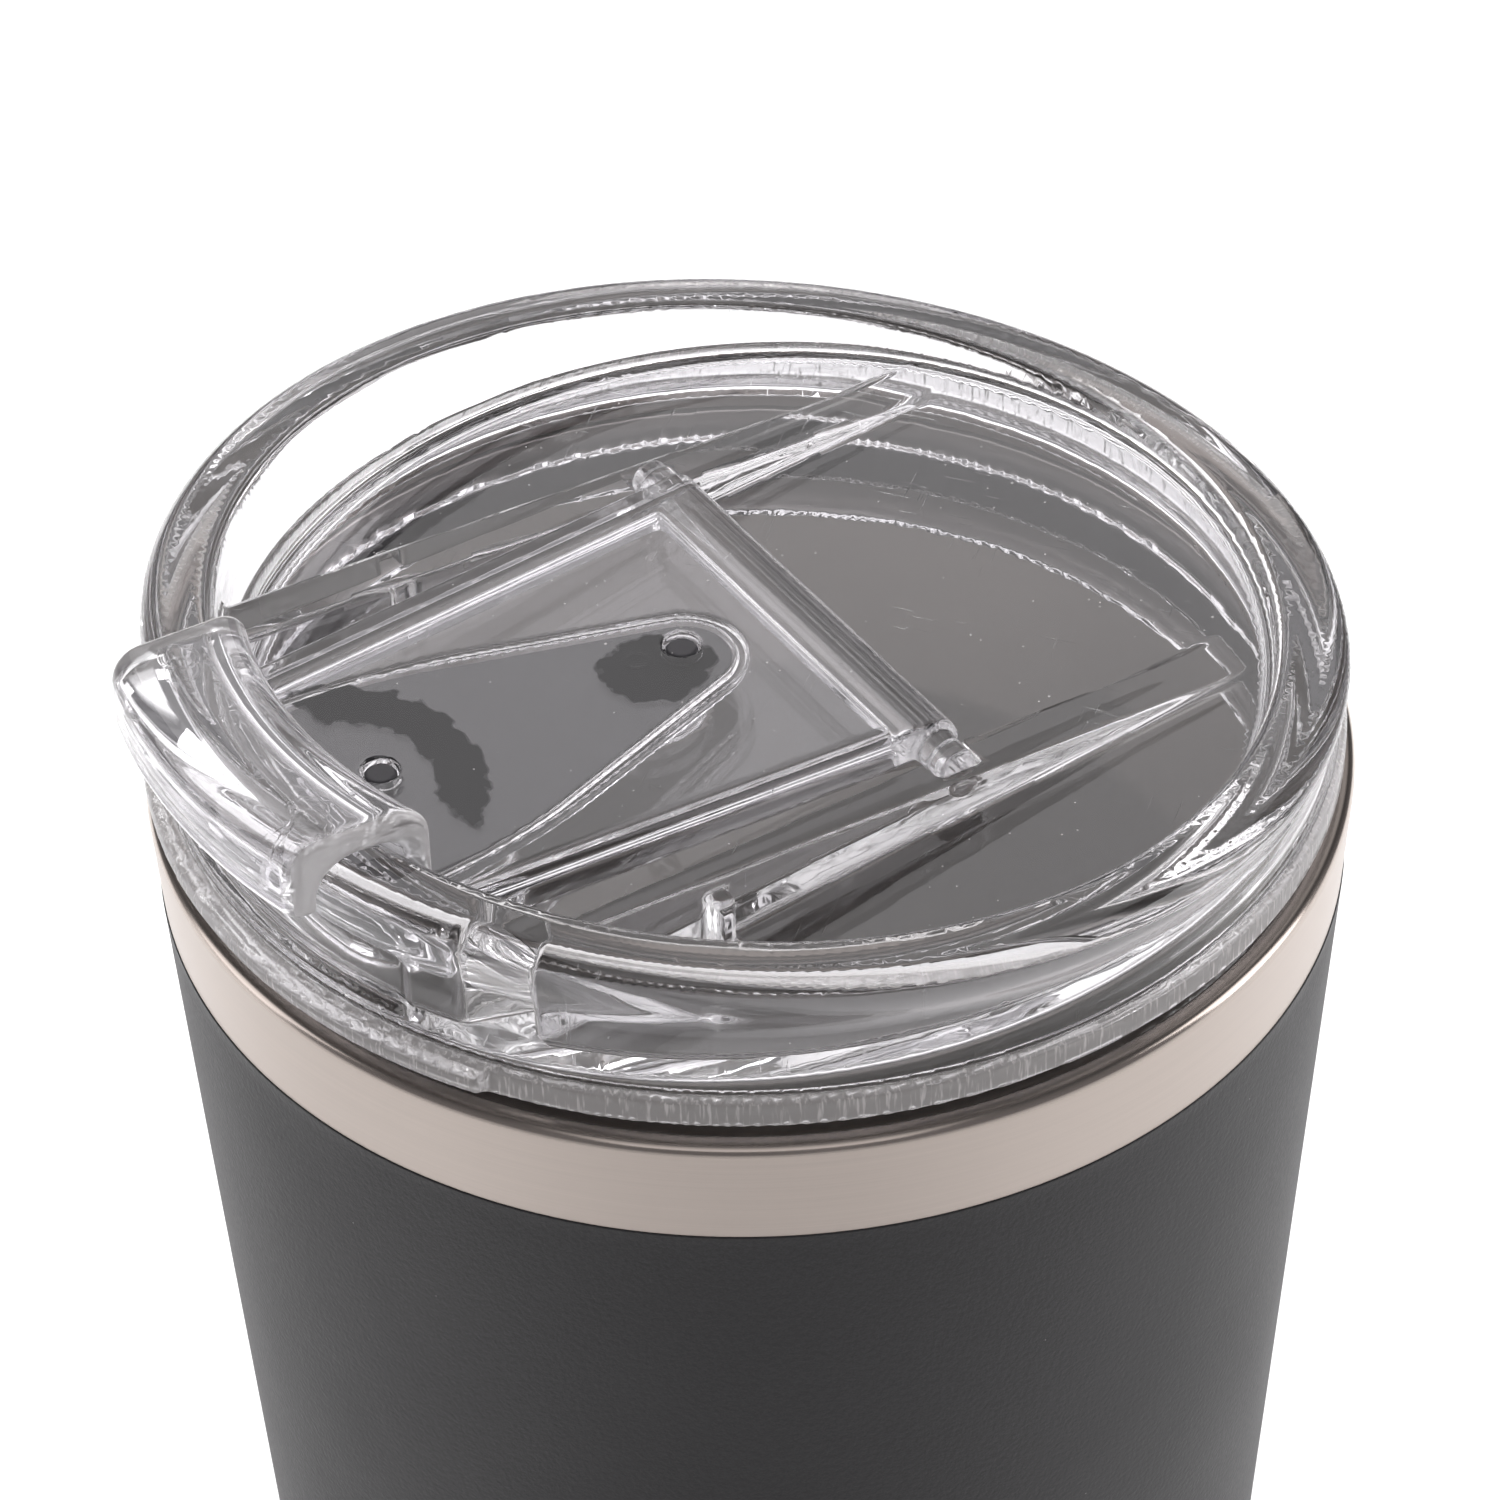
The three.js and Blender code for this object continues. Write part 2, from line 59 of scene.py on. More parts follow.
SHELL_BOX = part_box("outer_shell")
PLATE_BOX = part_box("base_plate")
BEAD_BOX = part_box("vacuum_seal_bead")
GETTER_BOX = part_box("getter_pill")
GASKET_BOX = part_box("lid_gasket")
LINER_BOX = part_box("inner_liner")
METRES_PER_MM = 0.001
LIP_HEIGHT = SHELL_BOX[1].z / METRES_PER_MM
LAMP_SHADE = 0.87  # share of a lamp's light that each clear face lets through


# ---- Settings ---------------------------------------------------------------------------------


def length(default, description, **more):
    """A length kept in metres, given here in millimetres."""
    return bpy.props.FloatProperty(
        description=description,
        default=default * METRES_PER_MM,
        unit="LENGTH",
        precision=4,
        **more,
    )


def share(default, description, **more):
    """A plain number, such as a slope or a roughness."""
    return bpy.props.FloatProperty(description=description, default=default, precision=3, **more)


def angle(default, description, **more):
    """An angle kept in radians, given here in degrees."""
    return bpy.props.FloatProperty(
        description=description,
        default=math.radians(default),
        subtype="ANGLE",
        unit="ROTATION",
        **more,
    )


def colour(default, description, **more):
    return bpy.props.FloatVectorProperty(
        description=description,
        default=default,
        size=3,
        min=0.0,
        max=1.0,
        subtype="COLOR",
        **more,
    )


def in_mm(vector_or_metres):
    return vector_or_metres / METRES_PER_MM


class CupSizes(bpy.types.PropertyGroup):
    """Sizes of the steel cup."""

    lip_radius: length(in_mm(SHELL_BOX[1].x), "Outer radius at the crest of the lip")
    lip_thickness: length(2.0, "Width of the rolled lip")
    wall_taper: share(0.058, "Radius lost for each unit of height")
    shell_wall: length(0.8, "Thickness of the outer wall")
    liner_wall: length(0.7, "Thickness of the inner wall")
    vacuum_gap: length(3.5, "Space between the walls below the neck")
    neck_gap: length(0.5, "Space between the walls at the neck")
    neck_depth: length(12.5, "Depth below the lip at which the gap starts to open")
    neck_blend: length(14.0, "Height over which the gap opens")
    liner_corner: length(7.0, "Rounding round the liner's floor")
    foot_width: length(5.0, "Width of the foot turned in under the shell")
    foot_corner: length(2.4, "Rounding where the wall meets the foot")
    band_height: length(8.6, "Height of bare steel below the lip", name="Bare band")
    coat_thickness: length(0.1, "Thickness of the powder coat")
    bead_clearance: length(0.3, "Space round the glass bead")
    dimple_radius: length(9.0, "Radius of the pocket in the base plate")
    dimple_depth: length(1.4, "Depth of the pocket in the base plate")


class LidSizes(bpy.types.PropertyGroup):
    """Sizes of the clear lid. Heights are counted from the crest of the cup's lip."""

    seat: length(1.3, "Underside of the flange")
    flange_height: length(2.4, "Thickness of the flange over the lip")
    flange_radius: length(43.6, "Outer radius of the flange")
    waist_radius: length(42.9, "Outer radius between flange and shoulder")
    shoulder_radius: length(43.9, "Widest radius of the rim")
    shoulder_height: length(10.2, "Height of the widest part")
    rim_height: length(12.5, "Top of the rim over the cup's axis")
    rim_outer: length(43.4, "Outer edge of the rim's top", name="Rim outer radius")
    rim_inner: length(38.3, "Inner edge of the rim's top", name="Rim inner radius")
    rim_tilt: share(0.082, "How steeply the rim rises towards the drinking side")
    well_radius: length(38.1, "Foot of the rim's inner wall")
    floor_height: length(5.8, "Top of the floor over the cup's axis")
    floor_slope: share(0.065, "How steeply the floor falls to the drinking side")
    floor_thickness: length(1.8, "Thickness of the lid's floor")
    plug_radius: length(41.43, "Outer radius of the plug inside the mouth")
    plug_wall: length(2.0, "Thickness of the plug's wall")
    plug_depth: length(11.5, "Depth of the plug below the lip's crest")
    groove_top: length(-4.0, "Upper face of the gasket's groove")
    groove_width: length(4.0, "Height of the gasket's groove")
    groove_depth: length(1.2, "Depth of the gasket's groove")
    gasket_offset: length(0.15, "Space left behind the gasket and in front of its web")
    rib_inner: length(18.1, "Half the width between the two ribs", name="Channel half width")
    rib_thickness: length(4.2, "Thickness of each rib")
    rib_height: length(9.1, "Top of the ribs over the cup's axis")
    rib_slope: share(0.055, "How steeply the ribs rise to the drinking side")
    gusset_place: length(-17.0, "Where the gussets stand along Y")
    gusset_width: length(1.6, "Width of a gusset")
    gusset_reach: length(1.5, "How far a gusset stands out of its rib")
    drink_radius: length(31.0, "From the cup's axis to the hole's middle", name="Drinking hole radius")
    drink_width: length(7.0, "Width of the arc-shaped hole", name="Drinking hole width")
    drink_spread: angle(11.46, "Half the hole's arc", name="Drinking hole spread")
    land_wall: length(2.4, "Width of the raised land round the hole")
    land_height: length(7.0, "Top of the raised lands")
    vent_place: length(-8.6, "Where the vent hole is along Y")
    vent_radius: length(1.0, "Radius of the vent hole")
    vent_land: length(4.2, "Radius of the raised land round the vent", name="Vent land radius")
    recess_spread: angle(24.64, "Half the arc of the finger recess")
    recess_depth: length(1.8, "Depth of the finger recess")
    recess_low: length(5.0, "Lower edge of the finger recess")
    recess_high: length(10.0, "Upper edge of the finger recess")
    ledge_spread: angle(33.23, "Half the arc of the ledge below the recess")
    ledge_reach: length(0.8, "How far the ledge stands out")
    cell: length(0.56, "Size of the lid's mesh faces", name="Mesh cell")


class FlapSizes(bpy.types.PropertyGroup):
    """Sizes of the clear flap and its pad. Heights are counted from the crest of the cup's lip."""

    hinge_place: length(4.4, "Where the hinge is along Y")
    hinge_height: length(8.6, "Height of the hinge")
    barrel_radius: length(2.1, "Radius of the flap's rear edge")
    pin_radius: length(1.5, "Radius of the hinge pins")
    pin_reach: length(2.6, "How far a pin enters its rib")
    pin_clearance: length(0.3, "Space round a pin in its slot")
    side_clearance: length(0.4, "Space between the flap and a rib")
    thickness: length(1.9, "Thickness of the flap's plate", name="Plate thickness")
    skirt_depth: length(4.1, "Full height of the flap's turned-down sides")
    skirt_wall: length(2.0, "Thickness of the flap's sides")
    front_half: length(14.8, "Half the flap's width at the hook", name="Front half width")
    hook_top: length(18.6, "Crown of the hook")
    hook_arch: length(2.4, "Thickness of the hook over the rim")
    hook_wall: length(1.7, "Thickness of the hook's inner leg")
    hook_inner_half: length(14.2, "Half the hook's width at its inner face", name="Hook inner half width")
    hook_outer_half: length(12.8, "Half the hook's width at its outer face", name="Hook outer half width")
    hook_clearance: length(0.3, "Space between the hook and the rim")
    leg_bottom: length(12.0, "Lower end of the hook's outer leg")
    leg_wall: length(2.2, "Thickness of the hook's outer leg")
    pad_thickness: length(1.2, "Thickness of the soft pad")
    pad_gap: length(0.3, "Space between the pad and the plate")
    pad_tail_radius: length(3.7, "Rounding of the pad's narrow end")
    pad_tail_place: length(-5.6, "Centre of the narrow end along Y")
    pad_head_half: length(10.6, "Half the pad's width over the drinking hole", name="Pad head half width")
    pad_head_place: length(-26.5, "Where the pad is widest along Y")
    pad_front_radius: length(35.4, "Curve of the pad's front edge")
    fence_wall: length(0.7, "Thickness of the clear wall round the pad")
    fence_clearance: length(0.3, "Space between the pad and that wall")
    stud_radius: length(1.2, "Radius of the pad's two studs")
    stud_clearance: length(0.2, "Space round a stud in its hole")
    rear_stud: length(-5.6, "Place of the rear stud along Y")
    front_stud: length(-30.6, "Place of the front stud along Y")
    cell: length(0.33, "Size of the flap's mesh faces", name="Mesh cell")


class FinishSettings(bpy.types.PropertyGroup):
    """Colours and roughness of the finishes."""

    coat_colour: colour((0.0105, 0.0099, 0.0112), "Charcoal powder coat", name="Coat")
    coat_roughness: share(0.5, "Middle roughness of the powder coat")
    steel_colour: colour((0.55, 0.485, 0.44), "Brushed stainless steel", name="Steel")
    steel_roughness: share(0.3, "Middle roughness of the brushed steel")
    clear_colour: colour((0.98, 0.974, 0.992), "Clear moulded plastic", name="Clear plastic")
    clear_roughness: share(0.015, "Roughness of the clear plastic where clean")
    silicone_colour: colour((0.014, 0.013, 0.015), "Dark silicone of the pad and gasket", name="Silicone")
    floor_colour: colour((0.9, 0.9, 0.9), "Pale floor under the cup", name="Studio floor")


class StudioSettings(bpy.types.PropertyGroup):
    """Camera and lights."""

    azimuth: angle(57.96, "Where the camera stands round the cup")
    elevation: angle(39.944, "How far the camera looks down")
    distance: length(407.3, "From the camera to the point it aims at")
    aim_height: length(156.1, "Height of that point on the cup's axis")
    roll: angle(1.305, "Turn of the camera about its own axis")
    lens: share(132.5, "Focal length in millimetres")
    fill: share(0.2, "Brightness of the plain surroundings")


GROUPS = {
    "tumbler_cup": CupSizes,
    "tumbler_lid": LidSizes,
    "tumbler_flap": FlapSizes,
    "tumbler_finish": FinishSettings,
    "tumbler_studio": StudioSettings,
}

for group in GROUPS.values():
    for name, setting in group.__annotations__.items():
        setting.keywords.setdefault("name", name.replace("_", " ").capitalize())


class Sizes:
    """A settings group with its lengths turned into millimetres."""

    def __init__(self, group):
        for prop in group.bl_rna.properties:
            value = getattr(group, prop.identifier)
            if prop.type == "FLOAT" and prop.unit == "LENGTH":
                value = in_mm(value)
            setattr(self, prop.identifier, value)


# ---- Turned pieces ----------------------------------------------------------------------------


def rounded(corners, steps=7):
    """Points (radius, height) and outward normals of an outline with rounded corners [r, z, rounding].

    The outline runs counterclockwise in the plane of radius and height. A corner on the axis stays sharp.
    """
    points = []
    normals = []
    count = len(corners)
    for i, (r, z, rounding) in enumerate(corners):
        here = np.array([r, z], float)
        before = np.array(corners[i - 1][:2], float) - here
        after = np.array(corners[(i + 1) % count][:2], float) - here
        before /= np.linalg.norm(before)
        after /= np.linalg.norm(after)
        if r == 0:
            flat = after if abs(before[0]) < 1e-9 else -before
            points.append(here)
            normals.append(np.array([0.0, -flat[0]]))
            continue
        half = math.acos(np.clip(before @ after, -1, 1)) / 2
        back = rounding / math.tan(half)
        start = here + before * back
        end = here + after * back
        for t in np.linspace(0, 1, steps + 1):
            along = (1 - t) * -before + t * after
            along /= np.linalg.norm(along)
            points.append((1 - t) ** 2 * start + 2 * t * (1 - t) * here + t**2 * end)
            normals.append(np.array([along[1], -along[0]]))
    return np.array(points), np.array(normals)


def turned(corners, sides=240, centre=(0.0, 0.0)):
    """Points, faces and normals of an outline turned about an upright axis."""
    outline, slopes = rounded(corners)
    turn = np.linspace(0, 2 * math.pi, sides, endpoint=False)
    points = []
    normals = []
    rows = []
    for (r, z), (across, up) in zip(outline, slopes):
        angles = turn if r > 1e-6 else turn[:1]
        rows.append(len(points) + np.arange(sides) % len(angles))
        for a in angles:
            points.append((centre[0] + r * math.cos(a), centre[1] + r * math.sin(a), z))
            normals.append((across * math.cos(a), across * math.sin(a), up))
    closed = outline[0][0] > 1e-6 or outline[-1][0] > 1e-6
    faces = []
    for i in range(len(rows) if closed else len(rows) - 1):
        this = rows[i]
        following = rows[(i + 1) % len(rows)]
        for j in range(sides):
            k = (j + 1) % sides
            corner = [this[j], this[k], following[k], following[j]]
            face = list(dict.fromkeys(int(c) for c in corner))
            if len(face) > 2:
                faces.append(face)
    return np.array(points), faces, np.array(normals)


def turned_disc(radius, low, high, rounding, centre=(0.0, 0.0)):
    corners = [[0, low, 0], [radius, low, rounding], [radius, high, rounding], [0, high, 0]]
    return turned(corners, sides=64, centre=centre)


# ---- Moulded pieces ---------------------------------------------------------------------------
# A moulding is a function of x, y and z that gives the distance to its surface, negative inside. Shapes
# are joined, overlapped and cut with rounded edges, as a mould maker would round them.


def union(a, b, rounding):
    reach = np.hypot(np.maximum(rounding - a, 0), np.maximum(rounding - b, 0))
    return np.maximum(rounding, np.minimum(a, b)) - reach


def overlap(a, b, rounding):
    reach = np.hypot(np.maximum(rounding + a, 0), np.maximum(rounding + b, 0))
    return np.minimum(-rounding, np.maximum(a, b)) + reach


def cut(a, b, rounding):
    return overlap(a, -b, rounding)


def between(value, low, high):
    return np.maximum(low - value, value - high)


def section(r, z, corners):
    """Distance to a convex outline of corners [r, z, rounding], counterclockwise."""
    distance = None
    for (r0, z0, rounding), (r1, z1, _) in zip(corners, corners[1:] + corners[:1]):
        edge = math.hypot(r1 - r0, z1 - z0)
        side = ((r - r0) * (z1 - z0) - (z - z0) * (r1 - r0)) / edge
        distance = side if distance is None else overlap(distance, side, rounding)
    return distance


def bar(r, z, radii, heights, roundings):
    """Distance to an upright rectangle. Its roundings run counterclockwise from the inner low corner."""
    inner, outer = radii
    low, high = heights
    places = ((inner, low), (outer, low), (outer, high), (inner, high))
    return section(r, z, [[*place, rounding] for place, rounding in zip(places, roundings)])


def arc_distance(x, y, radius, spread):
    """Distance to an arc round the cup's axis, centred on the drinking side."""
    across = np.abs(x)
    within = np.arctan2(across, -y) <= spread
    to_end = np.hypot(across - radius * math.sin(spread), y + radius * math.cos(spread))
    return np.where(within, np.abs(np.hypot(x, y) - radius), to_end)


def front_wedge(x, y, spread):
    """Distance to a wedge of space on the drinking side."""
    return np.abs(x) * math.cos(spread) + y * math.sin(spread)


def lid_moulding(s, f):
    """The lid's moulding: rim, flange, plug, floor, ribs, lands, holes, pin slots, recess and ledge."""
    lift_start = s.seat + s.flange_height
    rise = s.rim_height - lift_start
    floor_low = s.floor_height - s.floor_thickness
    rib_middle = s.rib_inner + s.rib_thickness / 2
    gusset_end = s.rib_inner + s.rib_thickness + s.gusset_reach
    slot_radius = f.pin_radius + f.pin_clearance
    slot_reach = (f.pin_reach + f.pin_clearance + 1) / 2
    bore = s.plug_radius - s.plug_wall

    def distance(x, y, z):
        radius = np.hypot(x, y)
        across = np.abs(x)
        tilt = s.rim_tilt * y
        lifted = lift_start + (z - lift_start) / (1 - tilt / rise)
        level = np.where(z < lift_start, z, np.where(lifted < s.rim_height, lifted, z + tilt))

        rim = section(radius, level, [
            [s.well_radius, s.seat, 0.4],
            [s.waist_radius, s.seat, 0.4],
            [s.waist_radius, s.rim_height - 1, 0.4],
            [s.rim_inner - 0.02, s.rim_height - 1, 0.4],
        ])
        crown = section(radius, level, [
            [s.waist_radius - 0.4, s.shoulder_height - 1.7, 0.2],
            [s.shoulder_radius, s.shoulder_height, 1.3],
            [s.rim_outer, s.rim_height, 1.6],
            [s.rim_inner, s.rim_height, 1.1],
            [s.rim_inner - 0.05, s.shoulder_height, 0.5],
        ])
        flange = bar(radius, z, (bore, s.flange_radius), (s.seat, lift_start), (0.3, 0.45, 0.45, 0.3))
        plug = bar(radius, z, (bore, s.plug_radius), (-s.plug_depth, s.seat + 1), (0.7, 0.7, 0.3, 0.3))
        groove = bar(
            radius, z,
            (s.plug_radius - s.groove_depth, s.plug_radius + 2),
            (s.groove_top - s.groove_width, s.groove_top),
            (0.2, 0.2, 0.2, 0.2),
        )
        ledge = bar(
            radius, z,
            (bore, s.flange_radius + s.ledge_reach),
            (s.seat + 0.2, lift_start - 0.36),
            (0.3, 0.6, 0.6, 0.3),
        )
        body = union(rim, crown, 0.4)
        body = union(body, flange, 0.5)
        body = union(body, overlap(ledge, front_wedge(x, y, s.ledge_spread), 0.8), 0.4)
        body = union(body, cut(plug, groove, 0.2), 0.8)

        slope = z - s.floor_slope * y
        floor = overlap(between(slope, floor_low, s.floor_height), radius - s.well_radius - 1, 0.2)
        body = union(body, floor, 0.9)

        top = z + s.rib_slope * y - s.rib_height
        rib = overlap(np.abs(across - rib_middle) - s.rib_thickness / 2, top, 0.35)
        gusset = overlap(np.abs(y - s.gusset_place) - s.gusset_width / 2, top + 1, 0.4)
        gusset = overlap(gusset, between(across, rib_middle, gusset_end), 0.4)
        rib = union(rib, gusset, 0.4)
        rib = np.maximum(rib, np.maximum(radius - s.well_radius - 1, floor_low + 0.5 - slope))
        body = union(body, rib, 0.45)

        hole = arc_distance(x, y, s.drink_radius, s.drink_spread) - s.drink_width / 2
        land = overlap(hole - s.land_wall, z - s.land_height, 0.5)
        land = np.maximum(land, floor_low + 0.5 - slope)
        vent = np.hypot(x, y - s.vent_place)
        vent_land = overlap(vent - s.vent_land, z - s.land_height, 0.5)
        vent_land = np.maximum(vent_land, floor_low + 0.5 - slope)
        body = union(body, land, 0.5)
        body = union(body, vent_land, 0.5)
        body = cut(body, hole, 0.5)
        body = cut(body, vent - s.vent_radius, 0.25)

        slot = np.where(
            z > f.hinge_height,
            np.abs(y - f.hinge_place),
            np.hypot(y - f.hinge_place, z - f.hinge_height),
        ) - slot_radius
        slot = overlap(slot, np.abs(across - (s.rib_inner - 1 + slot_reach)) - slot_reach, 0.3)
        body = cut(body, slot, 0.25)

        recess_radii = (s.shoulder_radius - s.recess_depth, s.shoulder_radius + 5)
        recess = bar(radius, z, recess_radii, (s.recess_low, s.recess_high), (0.5, 0.5, 0.5, 0.5))
        recess = overlap(recess, front_wedge(x, y, s.recess_spread), 1.4)
        return cut(body, recess, 0.6)

    return distance


def pad_outline(f):
    """Distance in plan to the pad's outline: a round tail widening to a head with a curved front."""
    run = f.pad_tail_place - f.pad_head_place
    slant = math.hypot(f.pad_head_half, run)
    lean = math.acos(f.pad_tail_radius / slant) - math.atan2(run, f.pad_head_half)

    def distance(x, y):
        across = np.abs(x)
        side = across * math.cos(lean) + (y - f.pad_tail_place) * math.sin(lean) - f.pad_tail_radius
        tail = np.hypot(x, y - f.pad_tail_place) - f.pad_tail_radius
        join = y - f.pad_tail_place - f.pad_tail_radius * math.sin(lean)
        body = overlap(np.maximum(side, join), across - f.pad_head_half, 1.5)
        body = overlap(body, np.hypot(x, y) - f.pad_front_radius, 1.5)
        return np.minimum(body, tail)

    return distance


def flap_moulding(s, f):
    """The flap's moulding: plate, sides, barrel, pins, stud holes, the wall round the pad, and the hook."""
    top = f.hinge_height + f.barrel_radius
    bottom = top - f.skirt_depth
    plate_low = top - f.thickness
    hinge_half = s.rib_inner - f.side_clearance
    hook_inner = s.well_radius - f.hook_clearance - f.hook_wall
    cave_outer = s.shoulder_radius + f.hook_clearance
    hook_outer = cave_outer + f.leg_wall
    narrowing = (hinge_half - f.front_half) / (f.hinge_place + hook_inner)
    hook_narrowing = (f.hook_inner_half - f.hook_outer_half) / (hook_outer + 1 - hook_inner / 2)
    pad = pad_outline(f)
    fence_low = plate_low - f.pad_gap - f.pad_thickness + 0.2

    def distance(x, y, z):
        radius = np.hypot(x, y)
        across = np.abs(x)
        side = (across - hinge_half - narrowing * (y - f.hinge_place)) / math.hypot(1, narrowing)
        slab = overlap(side, between(z, bottom, top), 0.6)
        slab = np.maximum(slab, y - f.hinge_place)
        slab = overlap(slab, radius - hook_inner - f.hook_wall, 0.4)
        pocket = overlap(side + f.skirt_wall, z - plate_low, 0.7)
        pocket = overlap(pocket, y - f.hinge_place + f.barrel_radius, 0.7)
        body = cut(slab, pocket, 0.35)

        from_hinge = np.hypot(y - f.hinge_place, z - f.hinge_height)
        barrel = overlap(from_hinge - f.barrel_radius, across - hinge_half, 0.35)
        body = union(body, barrel, 0.3)
        pins = overlap(from_hinge - f.pin_radius, across - s.rib_inner - f.pin_reach, 0.35)
        body = union(body, pins, 0.2)

        from_pad = pad(x, y)
        fence_middle = f.fence_clearance + f.fence_wall / 2
        fence = overlap(np.abs(from_pad - fence_middle) - f.fence_wall / 2, fence_low - z, 0.25)
        fence = np.maximum(fence, np.maximum(z - plate_low - 0.3, radius - hook_inner))
        body = union(body, fence, 0.2)

        lift = s.rim_tilt * (-y - s.rim_inner) * np.clip((z - top) / (f.leg_bottom - top), 0, 1)
        level = z - lift
        hook = bar(radius, level, (hook_inner, hook_outer), (plate_low, f.hook_top), (0.3, 0.3, 2.3, 2.2))
        cave = bar(
            radius, level,
            (hook_inner + f.hook_wall, cave_outer),
            (plate_low - 3, f.hook_top - f.hook_arch),
            (0.3, 0.3, 3.0, 1.8),
        )
        below_leg = overlap(s.waist_radius - radius, level - f.leg_bottom, 0.3)
        hook = cut(cut(hook, cave, 0.3), below_leg, 0.9)
        limit = f.hook_inner_half - hook_narrowing * (-y - hook_inner / 2)
        hook = overlap(hook, across - limit, 1.1)
        hook = np.maximum(hook, y)
        body = union(body, hook, 1.2)

        for place in (f.rear_stud, f.front_stud):
            hole = np.hypot(x, y - place) - f.stud_radius - f.stud_clearance
            body = cut(body, hole, 0.2)
        return body

    return distance


def pad_moulding(f):
    """The soft pad and its two studs."""
    plate_low = f.hinge_height + f.barrel_radius - f.thickness
    high = plate_low - f.pad_gap
    low = high - f.pad_thickness
    stud_top = plate_low + f.thickness - f.pad_gap
    pad = pad_outline(f)

    def distance(x, y, z):
        body = overlap(pad(x, y), between(z, low, high), 0.3)
        for place in (f.rear_stud, f.front_stud):
            stud = overlap(np.hypot(x, y - place) - f.stud_radius, between(z, low + 0.4, stud_top), 0.3)
            body = union(body, stud, 0.25)
        return body

    return distance


def slope_of(distance, points, step=0.02):
    """Value and slope of a distance function at points."""
    x, y, z = points.T
    here = distance(x, y, z)
    slope = np.stack([
        distance(x + step, y, z) - distance(x - step, y, z),
        distance(x, y + step, z) - distance(x, y - step, z),
        distance(x, y, z + step) - distance(x, y, z - step),
    ], axis=1) / (2 * step)
    return here, slope


def onto_surface(distance, points, limit, rounds=2):
    """Moves points along the slope onto the surface, no further than limit a round."""
    for _ in range(rounds):
        here, slope = slope_of(distance, points)
        steep = np.maximum((slope**2).sum(axis=1), 0.05)
        points = points - slope * np.clip(here / steep, -limit, limit)[:, None]
    return points


def moulded(distance, low, high, cell):
    """Points, faces and normals of the surface of a moulding, found on a grid and then moved onto it."""
    axes = [np.arange(a - 2 * cell, b + 3 * cell, cell) for a, b in zip(low, high)]
    grid = np.meshgrid(*axes, indexing="ij")
    inside = distance(*grid) < 0
    filled = np.zeros([n - 1 for n in inside.shape], int)
    for i in (0, 1):
        for j in (0, 1):
            for k in (0, 1):
                shape = filled.shape
                filled += inside[i:i + shape[0], j:j + shape[1], k:k + shape[2]]
    crossed = (filled > 0) & (filled < 8)
    index = np.full(crossed.shape, -1)
    index[crossed] = np.arange(crossed.sum())
    corner = np.stack([axis[0] + place * cell for axis, place in zip(axes, np.nonzero(crossed))], axis=1)
    points = corner + cell / 2

    faces = []
    for axis in range(3):
        one, two = (axis + 1) % 3, (axis + 2) % 3
        ahead = np.moveaxis(inside, axis, 0)
        change = np.zeros(inside.shape, int)
        np.moveaxis(change, axis, 0)[:-1] = ahead[:-1].astype(int) - ahead[1:].astype(int)
        at = np.argwhere(change != 0)
        leaving = change[tuple(at.T)] > 0
        ring = []
        for back_one, back_two in ((0, 0), (1, 0), (1, 1), (0, 1)):
            cells = at.copy()
            cells[:, one] -= back_one
            cells[:, two] -= back_two
            ring.append(index[tuple(cells.T)])
        ring = np.stack(ring, axis=1)
        ring[~leaving] = ring[~leaving][:, ::-1]
        faces.append(ring)
    faces = np.concatenate(faces)

    starts = faces.ravel()
    ends = np.roll(faces, -1, axis=1).ravel()
    total = len(points)
    pairs = ((starts, ends), (ends, starts))
    count = sum(np.bincount(one, minlength=total) for one, _ in pairs)
    points = onto_surface(distance, points, cell)
    for _ in range(3):
        middle = np.stack([
            sum(np.bincount(one, points[other, i], total) for one, other in pairs)
            for i in range(3)
        ], axis=1) / count[:, None]
        points = onto_surface(distance, (points + middle) / 2, cell / 2)
    slope = slope_of(distance, points)[1]
    normals = slope / np.maximum(np.linalg.norm(slope, axis=1), 1e-9)[:, None]
    return points, faces, normals


# ---- Meshes -----------------------------------------------------------------------------------


def make_piece(name, shape, finish, body, nodes, height=0.0):
    """A smooth mesh from points, faces and normals in millimetres, in place of CAD nodes of a body."""
    points, faces, normals = shape
    points = (points + np.array([0.0, 0.0, height])) * METRES_PER_MM
    mesh = bpy.data.meshes.new(name)
    mesh.from_pydata(points.tolist(), [], [list(face) for face in faces])
    mesh.update()
    mesh.polygons.foreach_set("use_smooth", np.ones(len(mesh.polygons), bool))
    mesh.normals_split_custom_set_from_vertices(normals.tolist())
    piece = bpy.data.objects.new(name, mesh)
    bpy.context.scene.collection.objects.link(piece)
    mesh.materials.append(finish)
    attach(piece, body)
    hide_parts(*nodes)
    return piece


# ---- Materials --------------------------------------------------------------------------------


class Value:
    """A number that varies over a surface. Arithmetic on it adds Math nodes to its material."""

    def __init__(self, finish, socket):
        self.finish = finish
        self.socket = socket

    def _math(self, operation, first, second=0.0):
        return self.finish.node("ShaderNodeMath", {"operation": operation}, {0: first, 1: second})

    def __add__(self, other):
        return self._math("ADD", self, other)

    def __radd__(self, other):
        return self._math("ADD", other, self)

    def __sub__(self, other):
        return self._math("SUBTRACT", self, other)

    def __mul__(self, other):
        return self._math("MULTIPLY", self, other)

    def __lt__(self, other):
        return self._math("LESS_THAN", self, other)

    def __abs__(self):
        return self._math("ABSOLUTE", self)

    def length_with(self, other):
        """The hypotenuse of this value and another."""
        return self._math("POWER", self * self + other * other, 0.5)


